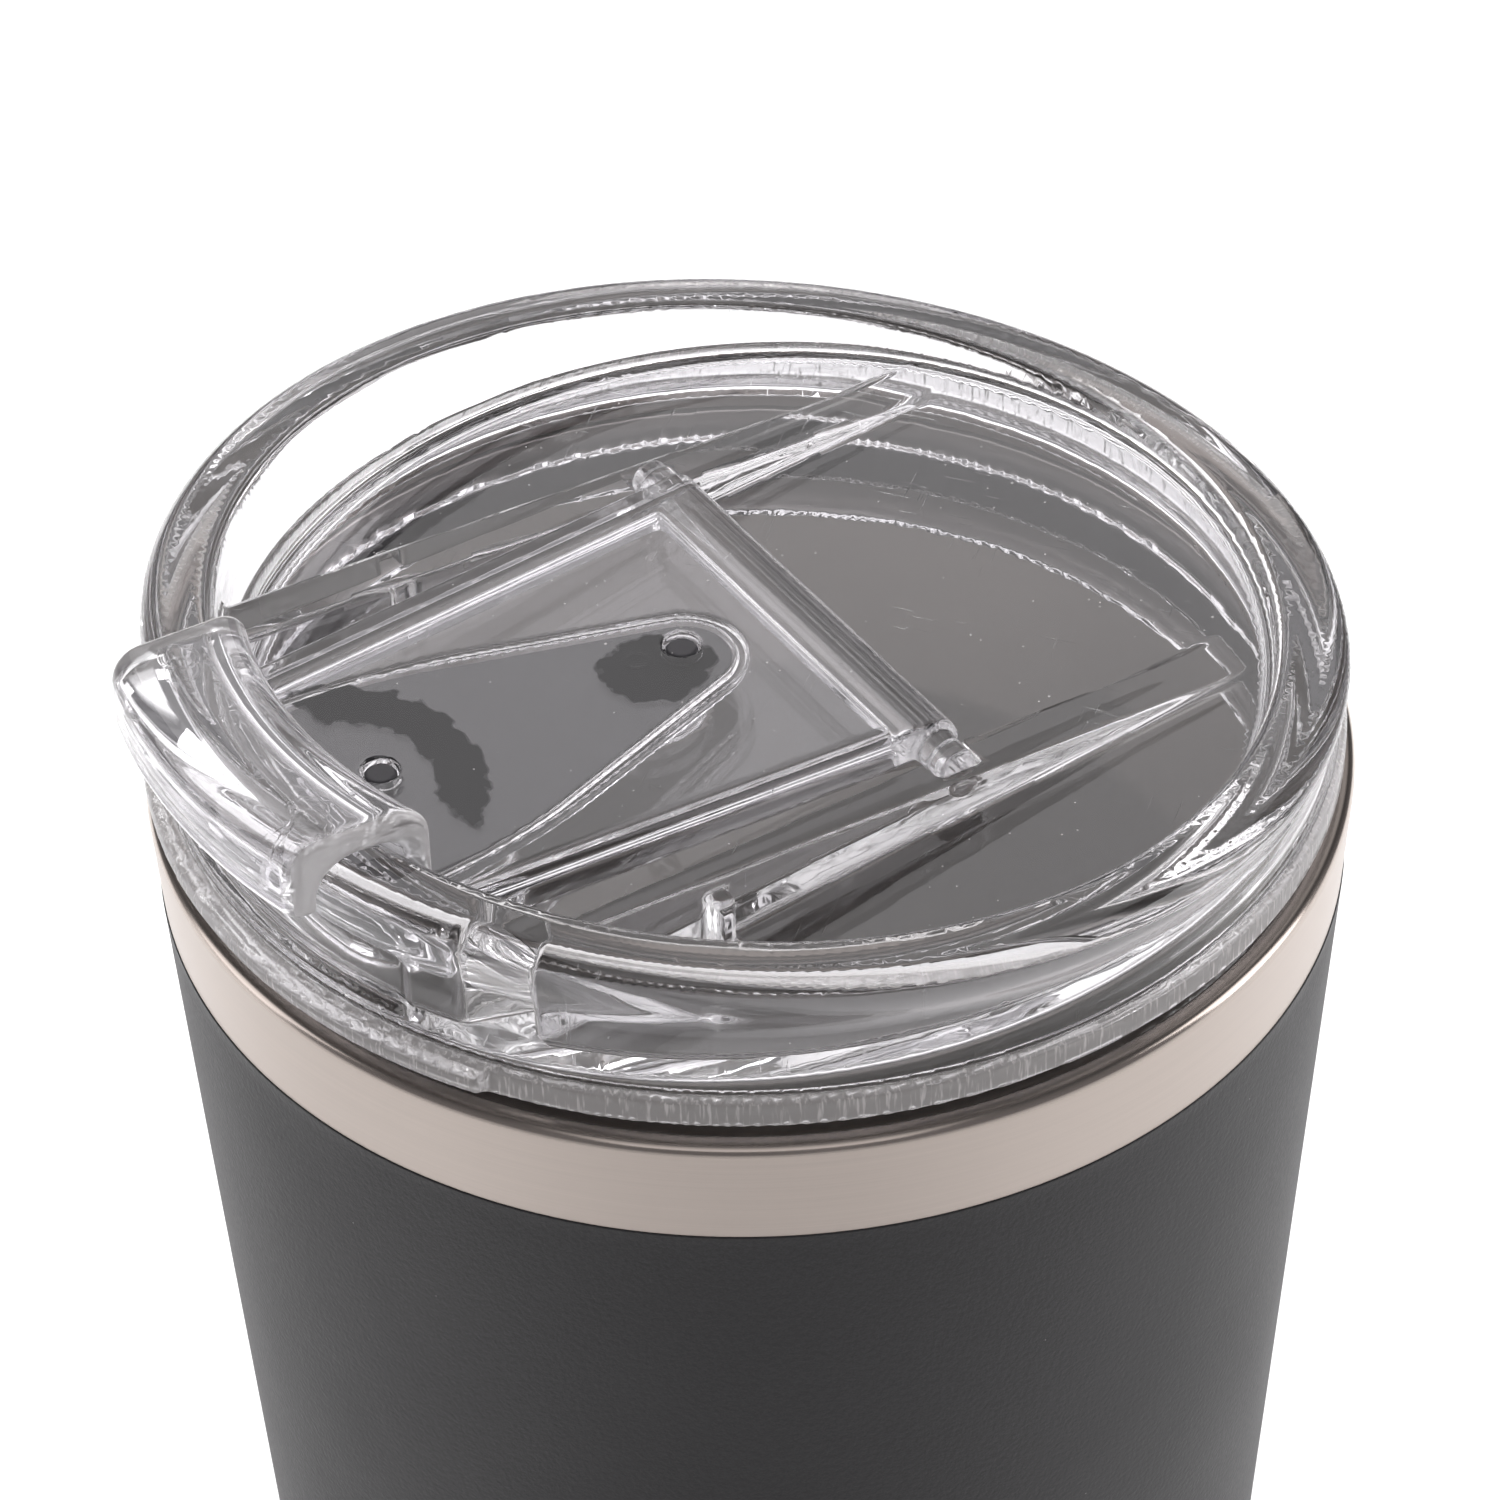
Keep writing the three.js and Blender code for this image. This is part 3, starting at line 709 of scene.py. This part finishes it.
class Finish:
    """A material, the nodes being added to it, and the places on the surface in millimetres."""

    def __init__(self, name):
        self.material = bpy.data.materials.new(name)
        self.material.use_nodes = True
        self.tree = self.material.node_tree
        self.tree.nodes.clear()
        places = self.node("ShaderNodeTexCoord", output="Object")
        self.places = self.node(
            "ShaderNodeVectorMath", {"operation": "SCALE"}, {"Vector": places, "Scale": 1 / METRES_PER_MM}
        )
        self.x, self.y, self.z = self.parts(self.places)
        self.facing_up = self.parts(self.node("ShaderNodeTexCoord", output="Normal"))[2]
        self.radius = self.x.length_with(self.y)

    def node(self, kind, settings=None, values=None, output=0):
        """Adds a node. Its settings come first, then the values or links of its sockets."""
        node = self.tree.nodes.new(kind)
        for name, setting in (settings or {}).items():
            setattr(node, name, setting)
        for name, value in (values or {}).items():
            if isinstance(value, Value):
                self.tree.links.new(value.socket, node.inputs[name])
            else:
                node.inputs[name].default_value = value
        return Value(self, node.outputs[output])

    def parts(self, vector):
        """The three numbers of a vector."""
        split = self.tree.nodes.new("ShaderNodeSeparateXYZ")
        self.tree.links.new(vector.socket, split.inputs[0])
        return [Value(self, output) for output in split.outputs]

    def vector(self, x, y, z):
        return self.node("ShaderNodeCombineXYZ", values={0: x, 1: y, 2: z})

    def noise(self, size, detail=3.0, places=None):
        """Soft noise from 0 to 1 whose lumps are about size millimetres across."""
        values = {"Vector": places or self.places, "Scale": 1 / size, "Detail": detail, "Roughness": 0.5}
        return self.node("ShaderNodeTexNoise", {"noise_dimensions": "3D"}, values)

    def specks(self, spacing, size, chance):
        """1 on small specks, about spacing millimetres apart, on the given share of the cells."""
        settings = {"voronoi_dimensions": "3D", "feature": "F1"}
        values = {"Vector": self.places, "Scale": 1 / spacing}
        near = self.node("ShaderNodeTexVoronoi", settings, values, "Distance")
        shade = self.parts(self.node("ShaderNodeTexVoronoi", settings, values, "Color"))[0]
        return self.step(near, size / spacing, 0.6 * size / spacing) * (shade < chance)

    def step(self, value, low, high):
        """A smooth step from 0 at low to 1 at high."""
        return self.node(
            "ShaderNodeMapRange",
            {"interpolation_type": "SMOOTHSTEP"},
            {"Value": value, "From Min": low, "From Max": high},
        )

    def blend(self, mask, first, second):
        """A colour that goes from first to second as mask goes from 0 to 1."""
        values = {"Factor": mask, 6: self.as_colour(first), 7: self.as_colour(second)}
        return self.node("ShaderNodeMix", {"data_type": "RGBA"}, values, 2)

    def as_colour(self, value):
        return value if isinstance(value, Value) else (*value, 1.0)

    def bump(self, height, depth, strength=1.0, normal=None):
        """A normal from a height of 0 to 1, where 1 stands depth millimetres proud."""
        values = {"Height": height, "Distance": depth * METRES_PER_MM, "Strength": strength}
        if normal is not None:
            values["Normal"] = normal
        return self.node("ShaderNodeBump", values=values)

    def principled(self, **values):
        values = {name.replace("_", " "): value for name, value in values.items()}
        return self.node("ShaderNodeBsdfPrincipled", values=values)

    def mix(self, mask, first, second):
        """A shader that goes from first to second as mask goes from 0 to 1."""
        return self.node("ShaderNodeMixShader", values={0: mask, 1: first, 2: second})

    def done(self, shader):
        output = self.tree.nodes.new("ShaderNodeOutputMaterial")
        self.tree.links.new(shader.socket, output.inputs["Surface"])
        return self.material


def scaled(shade, factor):
    return tuple(factor * part for part in shade)


def powder_coat(look):
    """Fine pebbled powder coat, rubbed a little smoother at its upper edge and round the foot."""
    f = Finish("powder_coat")
    pebble = f.noise(0.42, 2.0)
    fine = f.noise(0.16, 1.0)
    cloud = f.noise(14.0, 3.0)
    edge = f.step(f.z, LIP_HEIGHT - 10.2, LIP_HEIGHT - 8.7)
    rubbed = f.step(f.z + f.noise(3.0) * 1.2, 1.6, 0.7)
    dark = scaled(look.coat_colour, 0.72)
    light = scaled(look.coat_colour, 1.7)
    grey = f.blend(f.step(fine * 0.5 + pebble * 0.5, 0.36, 0.66), dark, light)
    # Pale specks in the base colour are painted glints on the pebbled coat.
    grey = f.blend(f.specks(1.1, 0.07, 0.05), grey, (0.22, 0.21, 0.21))
    grey = f.blend(rubbed * 0.5, grey, (0.10, 0.095, 0.09))
    grit = f.bump(fine, 0.012, 0.8)
    return f.done(f.principled(
        Base_Color=grey,
        Roughness=look.coat_roughness - 0.1 + pebble * 0.14 + cloud * 0.08 - edge * 0.06 - rubbed * 0.12,
        Specular_IOR_Level=0.5,
        Normal=f.bump(pebble, 0.05, 0.9, grit),
    ))


def brushed_steel(look):
    """Stainless steel brushed round the cup's axis, with a few longer scratches, a smoother lip, and
    painted shade on the lip's crest under the lid's flange.
    """
    f = Finish("brushed_steel")
    across = f.radius + f.z
    hair = f.noise(1.0, 2.0, f.vector(f.x * 0.035, f.y * 0.035, across * 9.0))
    streak = f.noise(1.0, 2.0, f.vector(f.x * 0.06, f.y * 0.06, across * 2.2))
    stain = f.noise(9.0, 3.0)
    crest = f.step(f.z, LIP_HEIGHT - 1.0, LIP_HEIGHT - 0.3)
    dull = scaled(look.steel_colour, 0.84)
    bright = scaled(look.steel_colour, 1.1)
    # Colour of the painted shade on the lip's crest.
    painted_lip_shade = scaled(look.steel_colour, 0.35)
    grey = f.blend(hair * 0.45 + streak * 0.35 + stain * 0.2, dull, bright)
    # Painted shade: the inner crest of the lip, which sits under the lid's flange, is darkened to stand in
    # for the shade there.
    grey = f.blend(crest * f.step(f.radius, 44.3, 43.9), grey, painted_lip_shade)
    return f.done(f.principled(
        Base_Color=grey,
        Metallic=1.0,
        Roughness=look.steel_roughness - 0.08 + hair * 0.1 + streak * 0.06 + stain * 0.06 - crest * 0.12,
        Anisotropic=0.55,
        Anisotropic_Rotation=0.25,
        Normal=f.bump(hair * 0.6 + streak * 0.4, 0.012, 0.6),
    ))


def seal_glass(look):
    """Fused grey glass bead with a faintly pitted skin."""
    f = Finish("seal_glass")
    pits = f.noise(0.5, 3.0)
    return f.done(f.principled(
        Base_Color=f.blend(pits, (0.16, 0.15, 0.14), (0.33, 0.31, 0.29)),
        Roughness=0.18 + pits * 0.2,
        Coat_Weight=0.4,
        Normal=f.bump(pits, 0.05),
    ))


def getter_metal(look):
    """Dull sintered metal."""
    f = Finish("getter_metal")
    grain = f.noise(0.25, 2.0)
    return f.done(f.principled(
        Base_Color=f.blend(grain, (0.13, 0.12, 0.115), (0.3, 0.29, 0.28)),
        Metallic=0.8,
        Roughness=0.55 + grain * 0.2,
        Normal=f.bump(grain, 0.04),
    ))


def scratches(f):
    """Short hairline scratches in two directions, 0 to 1."""
    one = f.noise(1.0, 1.0, f.vector(f.x * 3.2 + f.y * 2.6, f.y * 0.12 - f.x * 0.1, f.z * 0.2))
    two = f.noise(1.0, 1.0, f.vector(f.x * 2.4 - f.y * 3.4, f.x * 0.11 + f.y * 0.13, f.z * 0.2))
    patch = f.step(f.noise(6.0, 2.0), 0.55, 0.72)
    return (f.step(one, 0.69, 0.74) + f.step(two, 0.7, 0.75)) * patch


def clear_shader(f, look, worn, marks):
    """Clear plastic with faint moulding ripples. worn adds roughness, and marks stand a little proud."""
    ripple = f.bump(f.noise(5.0, 2.0), 0.05, 0.35)
    return f.principled(
        Base_Color=(*look.clear_colour, 1.0),
        Roughness=look.clear_roughness + worn,
        IOR=1.56,
        Transmission_Weight=1.0,
        Normal=f.bump(marks, 0.03, 0.5, ripple),
    )


def with_whitening_and_lamps(f, clear, whitening):
    """Whitens the plastic with a pale diffuse layer by a mask of settled specks, scuffs, frost and, on the
    lid's ribs, a painted glint; and lets lamps shine through so that what is inside is lit.
    """
    powder = f.node("ShaderNodeBsdfDiffuse", values={"Color": (0.8, 0.78, 0.77, 1.0), "Roughness": 1.0})
    # The pale layer stands for dirt and frost, and on the lid's outer rib faces for a painted glint.
    dusty = f.mix(whitening, clear, powder)
    lamps = f.node("ShaderNodeLightPath", output="Is Shadow Ray")
    through = f.node("ShaderNodeBsdfTransparent", values={"Color": (*[LAMP_SHADE] * 3, 1.0)})
    return f.done(f.mix(lamps, dusty, through))


def clear_lid(look, rib_outer):
    """Clear lid: dusty floor, scratched rim, a scuffed band round the flange, and a painted glint that
    whitens the outer rib faces.
    """
    f = Finish("clear_lid")
    height = f.z - LIP_HEIGHT
    upward = f.step(f.facing_up, 0.75, 0.95)
    scuffs = f.step(f.radius, 42.6, 43.2) * f.step(height, 4.1, 3.7) * f.step(height, 1.0, 1.4)
    scores = f.step(f.noise(1.0, 2.0, f.vector(f.x * 3.6, f.y * 3.6, f.z * 0.4)), 0.52, 0.72)
    lines = scratches(f)
    whitening = f.specks(1.3, 0.09, 0.42) + f.specks(3.7, 0.15, 0.3)
    whitening = whitening * upward * f.step(height, 10.0, 9.0) * 0.7 + f.noise(7.0, 3.0) * 0.008
    # Painted glint: the outer faces of the ribs are whitened to stand in for a bright glint of light on
    # them.
    painted_rib_glint = f.step(abs(abs(f.x) - rib_outer), 0.25, 0.1) * f.step(height, 4.6, 5.4)
    painted_rib_glint = painted_rib_glint * f.step(f.radius, 36.5, 34.0)
    # The whitening joins settled specks, the scuffed flange band and the painted rib glint.
    whitening = whitening + scuffs * (0.45 + scores * 0.45) + painted_rib_glint * 0.25
    clear = clear_shader(f, look, lines * 0.08 + scuffs * scores * 0.06, lines)
    return with_whitening_and_lamps(f, clear, whitening)


def clear_flap(look):
    """Clear flap: dusty plate, round ejector marks, frosted hook ends, and dark patches of the wet pad."""
    f = Finish("clear_flap")
    height = f.z - LIP_HEIGHT
    upward = f.step(f.facing_up, 0.75, 0.95)
    lines = scratches(f)
    edge = f.noise(1.6, 3.0) * 2.2

    def mark(x, y, radius):
        away = (f.x - x).length_with(f.y - y)
        return f.step(abs(away - radius), 0.22, 0.08)

    marks = mark(-9.7, -40.6, 1.3) + mark(9.6, -41.2, 1.3) + mark(-0.1, -9.3, 0.8)
    ring = ((f.x + 1.0) * 0.78).length_with(f.y + 31.5)
    crescent = f.step(abs(ring - 6.6 + edge - 1.1), 1.9, 1.6)
    crescent = crescent * f.step(f.y - f.x * 0.2 + edge, -28.6, -28.0)
    tail = f.step((f.x - 0.4).length_with((f.y + 8.0) * 0.9) + edge, 5.0, 4.7)
    clinging = (crescent + tail) * (abs(height - 8.8) < 0.12)
    frosted = f.step(abs(f.x), 12.2, 12.8) * f.step(f.radius, 36.0, 36.6) * f.step(height, 10.8, 11.4)
    whitening = (f.specks(1.3, 0.09, 0.35) + f.specks(4.1, 0.15, 0.3)) * upward * f.step(height, 12.0, 11.0)
    relief = marks + lines * 0.5 + frosted * f.noise(0.5)
    clear = clear_shader(f, look, lines * 0.06 + frosted * 0.12, relief)
    wet = f.node("ShaderNodeBsdfDiffuse", values={"Color": (*look.silicone_colour, 1.0)})
    joined = f.mix(clinging, clear, wet)
    return with_whitening_and_lamps(f, joined, whitening * 0.7 + f.noise(6.0, 3.0) * 0.008 + frosted * 0.4)


def dark_silicone(look):
    """Dark silicone with a satin skin and a little lint, for the flap's pad and the lid's gasket."""
    f = Finish("dark_silicone")
    skin = f.noise(0.3, 2.0)
    cloud = f.noise(5.0, 2.0)
    light = scaled(look.silicone_colour, 2.2)
    grey = f.blend(skin * 0.5 + cloud * 0.5, look.silicone_colour, light)
    grey = f.blend(f.specks(1.3, 0.07, 0.25), grey, (0.35, 0.34, 0.33))
    return f.done(f.principled(
        Base_Color=grey,
        Roughness=0.3 + skin * 0.12 + cloud * 0.08,
        IOR=1.42,
        Normal=f.bump(skin, 0.006),
    ))


def paper_floor(look):
    """Pale seamless paper with a very faint tooth."""
    f = Finish("paper_floor")
    tooth = f.noise(1.2, 3.0)
    cloud = f.noise(180.0, 2.0)
    shade = scaled(look.floor_colour, 0.97)
    return f.done(f.principled(
        Base_Color=f.blend(tooth * 0.5 + cloud * 0.5, shade, look.floor_colour),
        Roughness=0.8 + tooth * 0.1,
        Specular_IOR_Level=0.2,
        Normal=f.bump(tooth, 0.03, 0.3),
    ))


# ---- Operators --------------------------------------------------------------------------------

# Name, azimuth and elevation in degrees, distance and size in metres, and power in watts.
SOFTBOXES = (
    ("back_softbox", 238, 45, 1.15, (1.3, 1.1), 4.7),
    ("left_softbox", 322, 22, 0.95, (0.4, 0.8), 1.8),
    ("right_softbox", 150, 22, 0.95, (0.4, 0.8), 3.2),
    ("top_softbox", 58, 62, 1.3, (1.0, 1.0), 3.0),
)


class TUMBLER_OT_studio(bpy.types.Operator):
    """Set up the floor, the lights and the camera"""

    bl_idname = "tumbler.studio"
    bl_label = "Studio"

    def execute(self, context):
        scene = context.scene
        studio = scene.tumbler_studio
        self.add_floor(scene)
        self.add_surroundings(scene, studio)
        for softbox in SOFTBOXES:
            self.add_softbox(scene, *softbox)
        self.add_floor_light(scene)
        self.add_camera(scene, studio)
        scene.view_settings.view_transform = "Standard"
        scene.cycles.max_bounces = 36
        scene.cycles.glossy_bounces = 32
        scene.cycles.transmission_bounces = 36
        scene.cycles.transparent_max_bounces = 32
        scene.cycles.caustics_reflective = False
        scene.cycles.caustics_refractive = False
        return {"FINISHED"}

    def add_floor(self, scene):
        half = 3.0
        corners = [(-half, -half, 0), (half, -half, 0), (half, half, 0), (-half, half, 0)]
        mesh = bpy.data.meshes.new("studio_floor")
        mesh.from_pydata(corners, [], [(0, 1, 2, 3)])
        mesh.materials.append(paper_floor(scene.tumbler_finish))
        floor = bpy.data.objects.new("studio_floor", mesh)
        scene.collection.objects.link(floor)

    def add_surroundings(self, scene, studio):
        world = bpy.data.worlds.new("studio_surroundings")
        world.use_nodes = True
        background = world.node_tree.nodes["Background"]
        background.inputs["Color"].default_value = (1.0, 0.975, 1.01, 1.0)
        background.inputs["Strength"].default_value = studio.fill
        scene.world = world

    def outward(self, azimuth, elevation):
        """Direction from the cup: azimuth 0 is the drinking side and 90 is +X."""
        a = math.radians(azimuth)
        e = math.radians(elevation)
        return Vector((math.sin(a) * math.cos(e), -math.cos(a) * math.cos(e), math.sin(e)))

    def add_lamp(self, scene, name, size, power):
        light = bpy.data.lights.new(name, "AREA")
        light.shape = "RECTANGLE"
        light.size, light.size_y = size
        light.energy = power
        lamp = bpy.data.objects.new(name, light)
        scene.collection.objects.link(lamp)
        return lamp

    def add_softbox(self, scene, name, azimuth, elevation, distance, size, power):
        lamp = self.add_lamp(scene, name, size, power)
        lamp.data.color = (1.0, 0.98, 0.99)
        away = self.outward(azimuth, elevation)
        lamp.location = Vector((0, 0, 0.12)) + away * distance
        lamp.rotation_mode = "QUATERNION"
        lamp.rotation_quaternion = away.to_track_quat("Z", "Y")

    def add_floor_light(self, scene):
        """A wide light over the floor behind the cup, which isn't mirrored in the steel or plastic."""
        lamp = self.add_lamp(scene, "floor_light", (1.2, 1.2), 20)
        lamp.location = self.outward(238, 0) * 0.95 + Vector((0, 0, 0.75))
        lamp.visible_glossy = False
        lamp.visible_transmission = False

    def add_camera(self, scene, studio):
        camera = bpy.data.cameras.new("studio_camera")
        camera.lens = studio.lens
        camera.sensor_width = 36.0
        camera.clip_start = 0.02
        camera.clip_end = 20.0
        eye = bpy.data.objects.new("studio_camera", camera)
        scene.collection.objects.link(eye)
        away = self.outward(math.degrees(studio.azimuth), math.degrees(studio.elevation))
        aim = Vector((0, 0, studio.aim_height))
        turn = away.to_track_quat("Z", "Y").to_matrix() @ Matrix.Rotation(-studio.roll, 3, "Z")
        eye.matrix_world = Matrix.Translation(aim + away * studio.distance) @ turn.to_4x4()
        scene.camera = eye


class TUMBLER_OT_shell(bpy.types.Operator):
    """Make the coated outer wall and its bare band with the rolled lip"""

    bl_idname = "tumbler.shell"
    bl_label = "Outer wall"

    def execute(self, context):
        s = Sizes(context.scene.tumbler_cup)
        look = context.scene.tumbler_finish
        edge = LIP_HEIGHT - s.band_height

        def outer(z):
            return s.lip_radius - s.wall_taper * (LIP_HEIGHT - z)

        inner_lip = s.lip_radius - s.lip_thickness
        rolled = LIP_HEIGHT - s.lip_thickness
        band = turned([
            [outer(edge) - s.shell_wall, edge, 0.1],
            [outer(edge), edge, 0.05],
            [outer(LIP_HEIGHT), LIP_HEIGHT, 0.95],
            [inner_lip, LIP_HEIGHT, 0.95],
            [inner_lip, rolled, 0.2],
            [outer(rolled) - s.shell_wall, rolled, 0.15],
        ])
        proud = s.coat_thickness
        coat = turned([
            [outer(0) - s.foot_width, 0, 0.2],
            [outer(0), 0, s.foot_corner],
            [outer(edge) + proud, edge, 0.12],
            [outer(edge) - s.shell_wall, edge, 0.1],
            [outer(0) - s.shell_wall, s.shell_wall, s.foot_corner / 2],
            [outer(0) - s.foot_width, s.shell_wall, 0.2],
        ])
        steel = brushed_steel(look)
        make_piece("steel_band", band, steel, "cup", ["outer_shell"])
        make_piece("coated_wall", coat, powder_coat(look), "cup", ["outer_shell"])
        return {"FINISHED"}


class TUMBLER_OT_liner(bpy.types.Operator):
    """Make the steel liner inside the cup"""

    bl_idname = "tumbler.liner"
    bl_label = "Liner"

    def execute(self, context):
        s = Sizes(context.scene.tumbler_cup)
        low = in_mm(LINER_BOX[0].z)
        top = in_mm(LINER_BOX[1].z)
        neck = LIP_HEIGHT - s.neck_depth
        blend = neck - s.neck_blend

        def outer(z, space):
            return s.lip_radius - s.wall_taper * (LIP_HEIGHT - z) - s.shell_wall - space

        wide = s.vacuum_gap
        thin = s.neck_gap
        wall = s.liner_wall
        liner = turned([
            [0, low, 0],
            [outer(low, wide), low, s.liner_corner],
            [outer(blend, wide), blend, s.neck_blend / 2],
            [outer(neck, thin), neck, s.neck_blend / 3],
            [outer(top, thin), top, 0.2],
            [outer(top, thin) - wall, top, 0.2],
            [outer(neck, thin) - wall, neck, s.neck_blend / 3],
            [outer(blend, wide) - wall, blend, s.neck_blend / 2],
            [outer(low, wide) - wall, low + wall, s.liner_corner - wall],
            [0, low + wall, 0],
        ])
        steel = bpy.data.materials["brushed_steel"]
        make_piece("liner", liner, steel, "cup", ["inner_liner"])
        return {"FINISHED"}


class TUMBLER_OT_underside(bpy.types.Operator):
    """Make the base plate, the glass bead that seals the vacuum, and the getter"""

    bl_idname = "tumbler.underside"
    bl_label = "Underside"

    def execute(self, context):
        s = Sizes(context.scene.tumbler_cup)
        look = context.scene.tumbler_finish
        low = in_mm(PLATE_BOX[0].z)
        high = in_mm(PLATE_BOX[1].z) - s.dimple_depth
        edge = in_mm(PLATE_BOX[1].x)
        hole = in_mm(BEAD_BOX[1].x) + s.bead_clearance
        slope = s.dimple_radius - s.dimple_depth
        plate = turned([
            [hole, low + s.dimple_depth, 0.2],
            [slope, low + s.dimple_depth, 0.8],
            [s.dimple_radius, low, 0.8],
            [edge, low, 0.3],
            [edge, high, 0.3],
            [s.dimple_radius, high, 0.8],
            [slope, high + s.dimple_depth, 0.8],
            [hole, high + s.dimple_depth, 0.2],
        ])
        steel = bpy.data.materials["brushed_steel"]
        make_piece("base_plate_disc", plate, steel, "cup", ["base_plate"])

        bead_low, bead_high = in_mm(BEAD_BOX[0]), in_mm(BEAD_BOX[1])
        bead = turned_disc(bead_high.x, bead_low.z, bead_high.z, 0.55)
        make_piece("seal_bead", bead, seal_glass(look), "cup", ["vacuum_seal_bead"])

        low, high = in_mm(GETTER_BOX[0]), in_mm(GETTER_BOX[1])
        middle = (low + high) / 2
        pill = turned_disc(high.y, low.z, high.z, 0.3, centre=(middle.x, middle.y))
        make_piece("getter", pill, getter_metal(look), "cup", ["getter_pill"])
        return {"FINISHED"}


class TUMBLER_OT_lid(bpy.types.Operator):
    """Make the clear lid and the gasket in its plug"""

    bl_idname = "tumbler.lid"
    bl_label = "Lid"

    def execute(self, context):
        s = Sizes(context.scene.tumbler_lid)
        f = Sizes(context.scene.tumbler_flap)
        look = context.scene.tumbler_finish
        reach = s.flange_radius + s.ledge_reach
        rim_rise = s.rim_height + s.rim_tilt * s.rim_outer
        low = (-reach, -reach, -s.plug_depth)
        high = (reach, reach, rim_rise)
        shape = moulded(lid_moulding(s, f), low, high, s.cell)
        plastic = clear_lid(look, s.rib_inner + s.rib_thickness)
        make_piece("clear_lid", shape, plastic, "lid", ["lid_body"], LIP_HEIGHT)

        low, high = in_mm(GASKET_BOX[0].z), in_mm(GASKET_BOX[1].z)
        fin = in_mm(GASKET_BOX[1].x)
        back = s.plug_radius - s.groove_depth + s.gasket_offset
        web = s.plug_radius - s.gasket_offset
        tall = (high - low) / 3
        ring = turned([
            [back, low, 0.15],
            [fin, low, 0.15],
            [fin, low + tall, 0.15],
            [web, low + tall, 0.05],
            [web, high - tall, 0.05],
            [fin, high - tall, 0.15],
            [fin, high, 0.15],
            [back, high, 0.15],
        ])
        make_piece("gasket_ring", ring, dark_silicone(look), "lid", ["lid_gasket"])
        return {"FINISHED"}


class TUMBLER_OT_flap(bpy.types.Operator):
    """Make the clear flap with its hook, and the soft pad under it"""

    bl_idname = "tumbler.flap"
    bl_label = "Flap"

    def execute(self, context):
        s = Sizes(context.scene.tumbler_lid)
        f = Sizes(context.scene.tumbler_flap)
        look = context.scene.tumbler_finish
        reach = s.rib_inner + f.pin_reach
        front = s.shoulder_radius + f.hook_clearance + f.leg_wall
        top = f.hinge_height + f.barrel_radius
        low = (-reach, -front, top - f.skirt_depth)
        high = (reach, f.hinge_place + f.barrel_radius, f.hook_top + 1)
        shape = moulded(flap_moulding(s, f), low, high, f.cell)
        plastic = clear_flap(look)
        make_piece("clear_flap", shape, plastic, "flap_arm", ["flap"], LIP_HEIGHT)

        low = (-f.pad_head_half, -f.pad_front_radius, top - f.skirt_depth)
        high = (f.pad_head_half, f.pad_tail_place + f.pad_tail_radius, top)
        shape = moulded(pad_moulding(f), low, high, f.cell * 0.8)
        soft = dark_silicone(look)
        make_piece("soft_pad", shape, soft, "flap_arm", ["flap_seal"], LIP_HEIGHT)
        return {"FINISHED"}


class TUMBLER_PT_panel(bpy.types.Panel):
    """Lists the pieces of the tumbler"""

    bl_idname = "TUMBLER_PT_panel"
    bl_label = "Insulated tumbler"
    bl_space_type = "VIEW_3D"
    bl_region_type = "UI"
    bl_category = "Tumbler"

    def draw(self, context):
        for operator in OPERATORS:
            self.layout.operator(operator.bl_idname)
        for name in GROUPS:
            group = getattr(context.scene, name)
            box = self.layout.box()
            for prop in group.bl_rna.properties:
                if prop.is_runtime:
                    box.prop(group, prop.identifier)


OPERATORS = (
    TUMBLER_OT_studio,
    TUMBLER_OT_shell,
    TUMBLER_OT_liner,
    TUMBLER_OT_underside,
    TUMBLER_OT_lid,
    TUMBLER_OT_flap,
)


def register():
    for group in GROUPS.values():
        bpy.utils.register_class(group)
    for name, group in GROUPS.items():
        setattr(bpy.types.Scene, name, bpy.props.PointerProperty(type=group))
    for operator in OPERATORS:
        bpy.utils.register_class(operator)
    bpy.utils.register_class(TUMBLER_PT_panel)


def unregister():
    bpy.utils.unregister_class(TUMBLER_PT_panel)
    for operator in reversed(OPERATORS):
        bpy.utils.unregister_class(operator)
    for name in GROUPS:
        delattr(bpy.types.Scene, name)
    for group in reversed(GROUPS.values()):
        bpy.utils.unregister_class(group)


def main():
    register()
    for operator in OPERATORS:
        category, name = operator.bl_idname.split(".")
        getattr(getattr(bpy.ops, category), name)()


if __name__ == "__main__":
    main()
